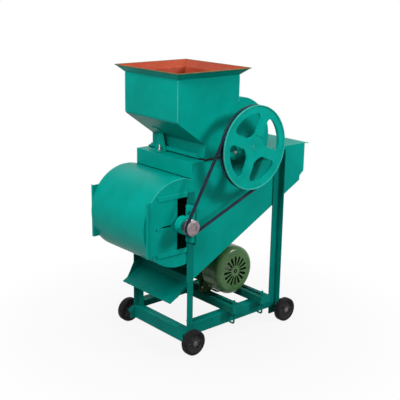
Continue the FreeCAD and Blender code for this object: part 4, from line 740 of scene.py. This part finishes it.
def make_motor_foot_bolts():
    """A bolt head on each foot of the motor, with its shank, and its nut under the rail's flange."""
    foot_top, flange_under, foot_places = 152, 136, (-5, 135)
    shapes = []
    for x in RAIL_MIDDLES:
        for y in foot_places:
            shapes += bolt_head((x, y, foot_top), (0, 0, 1), 9.5, 8, 11)
            shapes += hex_nut((x, y, flange_under), (0, 0, -1), 9.5, 8, 5.5, 1.5)
            shapes.append((ZINC, threaded(5.5, 1.5, 18, (x, y, flange_under - 1), (0, 0, 1))))
    piece("motor_foot_bolts_threaded", shapes, "motor_foot_bolts", ("motor_foot_bolts",))


def hook(x, side):
    """A hook bolt: a straight shank, a quarter bend of 8 mm radius and a toe under the base rail."""
    low_end, bend_radius, rod_radius = 57.2, 8, 3.7
    bend = np.linspace(0, np.pi / 2, 12)[:, None]
    up, inward = np.array((0, 0, 1.0)), np.array((0, -side, 0.0))
    corner = np.array((x, side * HOOK_PLANE, low_end)) + bend_radius * (up + inward)
    arc = corner - bend_radius * (inward * np.cos(bend) + up * np.sin(bend))
    path = np.vstack([arc[:1] + up * 70, arc[:1] + up * 35, arc, arc[-1:] + inward * 8, arc[-1:] + inward * 16])
    return bent_rod(path, rod_radius, (1, 0, 0))


def make_hook_bolts():
    """Four hook bolts that hold the motor's rails to the base rails, each with its nut and threaded end."""
    plate_top = 140
    shapes = []
    for x in RAIL_MIDDLES:
        for side in SIDES.values():
            y = side * HOOK_PLANE
            shapes.append((SHADED_FRAME_TEAL, hook(x, side)))
            shapes += bolt_head((x, y, plate_top), (0, 0, 1), 8, 7, 9.5, SHADED_FRAME_TEAL)
            shapes.append((SHADED_FRAME_TEAL, threaded(4, 1.25, 24, (x, y, plate_top - 6), (0, 0, 1))))
    piece("rail_hook_bolts_bent", shapes, "rail_hook_bolts", ("rail_hook_bolts",))


def make_clamp_screws():
    """The heads that clamp the two air shutters, over the plain ones of the guides."""
    screw_x, clamp_face = -369, 167.5
    shapes = []
    for side in SIDES.values():
        foot = (screw_x, side * clamp_face, PIVOT["fan_rotor"][2])
        shapes += bolt_head(foot, (0, side, 0), 6.9, 4.8, 7.6, TEAL)
    piece("shutter_clamp_screws", shapes, "shutter_guides")


# Motor: the fan's cover, screws and the cable gland
def fan_cover(axis_x, axis_z, slots=16, columns=7):
    """A pressed cover: a domed face with petal slots, a shoulder of 24 mm radius and a straight skirt.

    With t the share of the way from 22 to 63 mm out, a slot is (3.2 + 3.2 * t) * (1 - (2 * t - 1)^6)^0.5 mm
    to each side of its middle, so that it is round at both ends and wider outside. The face falls back by
    1.2 mm towards its middle. The metal between two slots is one strip of the grid, from the edge of one to
    the edge of the next.
    """
    face, shoulder, skirt, slot_in, slot_out = -108.0, 24, 102, 22, 63
    flat = skirt - shoulder
    bend = np.linspace(0, np.pi / 2, 10)[1:]
    along_slot = 0.5 - 0.5 * np.cos(np.linspace(0, np.pi, 19))
    on_face = np.concatenate([[3, 12, 20], slot_in + (slot_out - slot_in) * along_slot, [70, flat]])
    radius = np.concatenate([on_face, flat + shoulder * np.sin(bend), [skirt, skirt, skirt + 0.8, skirt + 0.8]])
    along = np.concatenate([face - 1.2 + 1.2 * (on_face / flat) ** 2, face + shoulder - shoulder * np.cos(bend),
                            [-60, -30, -26, -20]])
    share = np.clip((radius - slot_in) / (slot_out - slot_in), 0, 1)
    slot = (3.2 + 3.2 * share) * np.sqrt(np.clip(1 - (2 * share - 1) ** 6, 0, 1)) * (radius < 64)
    strip = np.pi / slots - np.arcsin(slot / np.maximum(radius, 5))
    middle = (np.arange(slots) + 0.5) * 2 * np.pi / slots
    angle = middle[None, :, None] + strip[:, None, None] * np.linspace(-1, 1, columns)
    angle = angle.reshape(len(radius), -1)
    points = np.stack([axis_x + radius[:, None] * np.cos(angle), along[:, None] + 0 * angle,
                       axis_z + radius[:, None] * np.sin(angle)], axis=-1)
    index = np.arange(points.shape[0] * points.shape[1]).reshape(points.shape[:2])
    low = index[:-1].reshape(-1, slots, columns)
    high = index[1:].reshape(-1, slots, columns)
    faces = np.stack([low[..., :-1], low[..., 1:], high[..., 1:], high[..., :-1]], axis=-1).reshape(-1, 4)
    return points.reshape(-1, 3), [faces, index[:1, ::columns]]


def make_fan_cover():
    """The slotted cover as a sheet 2.2 mm thick, its seam of doubled points merged."""
    x, _, z = PIVOT["motor_rotor"]
    points, blocks = fan_cover(x, z)
    mesh = bpy.data.meshes.new("motor_fan_cover_slotted")
    mesh.from_pydata((points * MM).tolist(), [], [face for block in blocks for face in block.tolist()])
    work = bmesh.new()
    work.from_mesh(mesh)
    bmesh.ops.remove_doubles(work, verts=work.verts, dist=0.01 * MM)
    bmesh.ops.recalc_face_normals(work, faces=work.faces)
    work.to_mesh(mesh)
    work.free()
    mesh.materials.append(OLIVE)
    mesh.shade_smooth()
    item = settle("motor_fan_cover_slotted", mesh, "motor_fan_cover", ("motor_fan_cover",))
    wall = item.modifiers.new("sheet_thickness", "SOLIDIFY")
    wall.thickness = 2.2 * MM
    wall.offset = -1
    round_edges(item, 0.5, math.radians(50))


def make_fan_disc():
    """The cooling fan's back plate, seen through the cover's slots, and a ring on the cover's middle: both
    black, as painted shade behind the slots and in the cover's centre hole.
    """
    x, _, z = PIVOT["motor_rotor"]
    back, centre_face = ends("motor_fan")[1][1], -109
    plate = [(14.5, -3), (14.5, 0), (84, 0), (84.6, -0.6), (84.6, -1.4), (84, -2), (20, -2), (19, -3)]
    ring = [(3.6, 0.2), (3.6, 0.7), (4.2, 0.9), (8.2, 0.9), (8.8, 0.7), (8.8, 0.2)]
    disc = turned(plate, (x, back, z), (0, 1, 0), 72, wrap=True)
    eye = turned(ring, (x, centre_face, z), (0, -1, 0), 48, wrap=True)
    piece("motor_fan_back_plate", [(NYLON, disc)], "motor_fan")
    piece("motor_fan_cover_centre_ring", [(NYLON, eye)], "motor_fan_cover")


def make_motor_screws():
    """Four screws round the cover's skirt, four bolts on the drive shield and four on the terminal box."""
    skirt, skirt_y, circle, shield_face = 101.4, -30, 71, 181.6
    lid_top, lid_x, lid_y = 378.8, (47, 123), (27, 103)
    shapes = []
    for turn in (45, 135, 225, 315):
        out = np.array((math.cos(math.radians(turn)), 0, math.sin(math.radians(turn))))
        centre = PIVOT["motor_rotor"]
        shapes.append(pan_head(centre + out * skirt + np.array((0, skirt_y, 0)), out, 4.0, 2.4))
        shapes += bolt_head(centre + out * circle + np.array((0, shield_face, 0)), (0, 1, 0), 5.2, 4)
    shapes += [pan_head((x, y, lid_top), (0, 0, 1), 3.6, 2.2) for x in lid_x for y in lid_y]
    piece("motor_screws", shapes, "motor_fan_cover")


def make_gland():
    """The inlet for the motor's cord: a round body, a ribbed dome nut and a rubber bush in its mouth.

    Where a row is ribbed, its radius gains up to 0.35 * |sin(9 * angle)|.
    """
    foot, way = (123, 65, 354), (1, 0, 0)
    angle = np.linspace(0, 2 * np.pi, 96, endpoint=False)
    rows = np.array([(5.4, 0, 0), (10, 0, 0), (10, 6.4, 0), (8.6, 7, 0), (8.6, 8, 0), (9.6, 8.6, 1),
                     (9.6, 16, 1), (9.0, 19, 0.6), (7.8, 22, 0), (7.2, 23.6, 0), (6.2, 24, 0), (5.4, 23.2, 0)])
    ribs = 0.35 * np.abs(np.sin(9 * angle))
    radius = rows[:, :1] + rows[:, 2:3] * ribs
    shell = net(placed(radius, rows[:, 1:2] + 0 * angle, angle, foot, way), wrap=True)
    bush = turned([(5.05, 2), (5.4, 2), (5.4, 22.6), (5.05, 22.6)], foot, way, 48, wrap=True)
    piece("cable_gland_ribbed", [(NYLON, shell), (SEAL, bush)], "cable_gland", ("cable_gland",))


# Welds, thin plates, seams and the bands round the casing and the hopper
def make_frame_welds():
    """Short fillet welds where the base rails meet the legs, painted over with the frame."""
    for name, side in SIDES.items():
        upright_y, flat_y, flat_z = side * 171.3, side * 172, 80.6
        shapes = [(SHADED_FRAME_TEAL, bead((x, upright_y, 64), (x, upright_y, 106), 1.7)) for x in (-199, 225)]
        shapes += [(SHADED_FRAME_TEAL, bead((x, flat_y, flat_z), (x + 26, flat_y, flat_z), 1.6)) for x in (-225, 236)]
        piece(f"base_rail_{name}_welds", shapes, f"base_rail_{name}")


def make_rail_ends():
    """Thin plates that close the four ends of the motor's channel rails."""
    half_width, thickness = 25, 1.5
    low, high = ends("motor_rails")
    shapes = []
    for y, out in ((low[1], -thickness), (high[1], thickness)):
        for x in RAIL_MIDDLES:
            left, right = x - half_width, x + half_width
            corners = [(left, y, low[2]), (right, y, low[2]), (right, y, high[2]), (left, y, high[2])]
            shapes.append((SHADED_FRAME_TEAL, slab(corners, (0, out, 0))))
    piece("motor_rail_end_plates", shapes, "motor_rails")


def make_gusset():
    """A small corner plate in the angle between the far left leg and the side plate above it."""
    left, right, y, low, high = -200, -150, 166, 258, 338
    corners = [(left, y, low), (left, y, high), (right, y, high)]
    piece("leg_left_far_gusset", [(SHADED_FRAME_TEAL, slab(corners, (0, 3, 0)))], "leg_left_far")


def make_corner_seams():
    """Ground weld seams up the hopper's upright corners, left as a slight bead in paler teal, a painted
    highlight line.
    """
    corner_y, top = 156.4, 1050
    shapes = []
    for side in SIDES.values():
        y = side * corner_y
        for x, foot in ((-271.4, 901), (29.4, 950)):
            shapes.append((PAINTED_HIGHLIGHT_TEAL, bead((x, y, foot), (x, y, top), 1.9, 9.0)))
    piece("hopper_corner_seams", shapes, "hopper")


def make_plate_seams():
    """Rolled seams where the fan's shell meets its two end plates: an arc of bead in paler teal, a painted
    highlight.
    """
    seam_plane, seam_radius = 164.4, 167.9
    turn = np.radians(np.linspace(62, 143, 40))[:, None]
    arc = seam_radius * np.hstack([np.cos(turn), 0 * turn, np.sin(turn)])
    x, _, z = PIVOT["fan_rotor"]
    for name, side in SIDES.items():
        seam = bent_rod(arc + np.array((x, side * seam_plane, z)), 1.3, (0, 1, 0), 10)
        piece(f"fan_end_plate_{name}_seam", [(PAINTED_HIGHLIGHT_TEAL, seam)], f"fan_end_plate_{name}")


def band_round(node, inset, radius, section, height):
    """An oval bead carried round a node's own rectangle, inset mm in to the centres of its corners.

    Its path has corners of the given radius, and its section has the half sizes (out, up), as an oval
    (out * cos a, up * sin a) of as many points as the third value says.
    """
    low, high = ends(node)
    out, up, count = section
    angle = np.linspace(0, 2 * np.pi, count, endpoint=False)
    oval = np.column_stack([out * np.cos(angle), up * np.sin(angle)])
    low, high = low + inset, high - inset
    corners = [(high[0], high[1]), (low[0], high[1]), (low[0], low[1]), (high[0], low[1])]
    quarter = math.pi / 2
    arcs = [(corner, radius, place * quarter, (place + 1) * quarter) for place, corner in enumerate(corners)]
    points, blocks = looped(arcs, oval, (1, 0, 0), (0, 1, 0), steps=8)
    return points + np.array((0, 0, height)), blocks


def make_gasket_bead():
    """The rubber squeezed out round the casing's flange: a flat oval at the gasket's middle height, drawn large
    so that its black also stands as painted shade in the gap under the flange.
    """
    low, high = ends("casing_gasket")
    bulge = band_round("casing_gasket", 4, 4.0, (3.4, 4.4, 12), (low[2] + high[2]) / 2)
    piece("casing_gasket_bead", [(SEAL, bulge)], "casing_gasket")


def make_rim_hem():
    """The rim's top edge folded to a small round hem."""
    hem = band_round("hopper", 4.0, 3.0, (2.0, 2.0, 10), ends("hopper")[1][2] - 1.2)
    piece("hopper_rim_hem", [(RUBBED_RIM, hem)], "hopper")


make_wheels()
make_axle_nuts()
make_belts()
make_belt_wheel()
make_small_pulleys()
make_bearing_details()
make_body_bolts()
make_motor_foot_bolts()
make_hook_bolts()
make_clamp_screws()
make_motor_screws()
make_gland()
make_frame_welds()
make_rail_ends()
make_gusset()
make_fan_cover()
make_fan_disc()
make_corner_seams()
make_plate_seams()
make_gasket_bead()
make_rim_hem()

bpy.context.scene.view_settings.view_transform = "Standard"
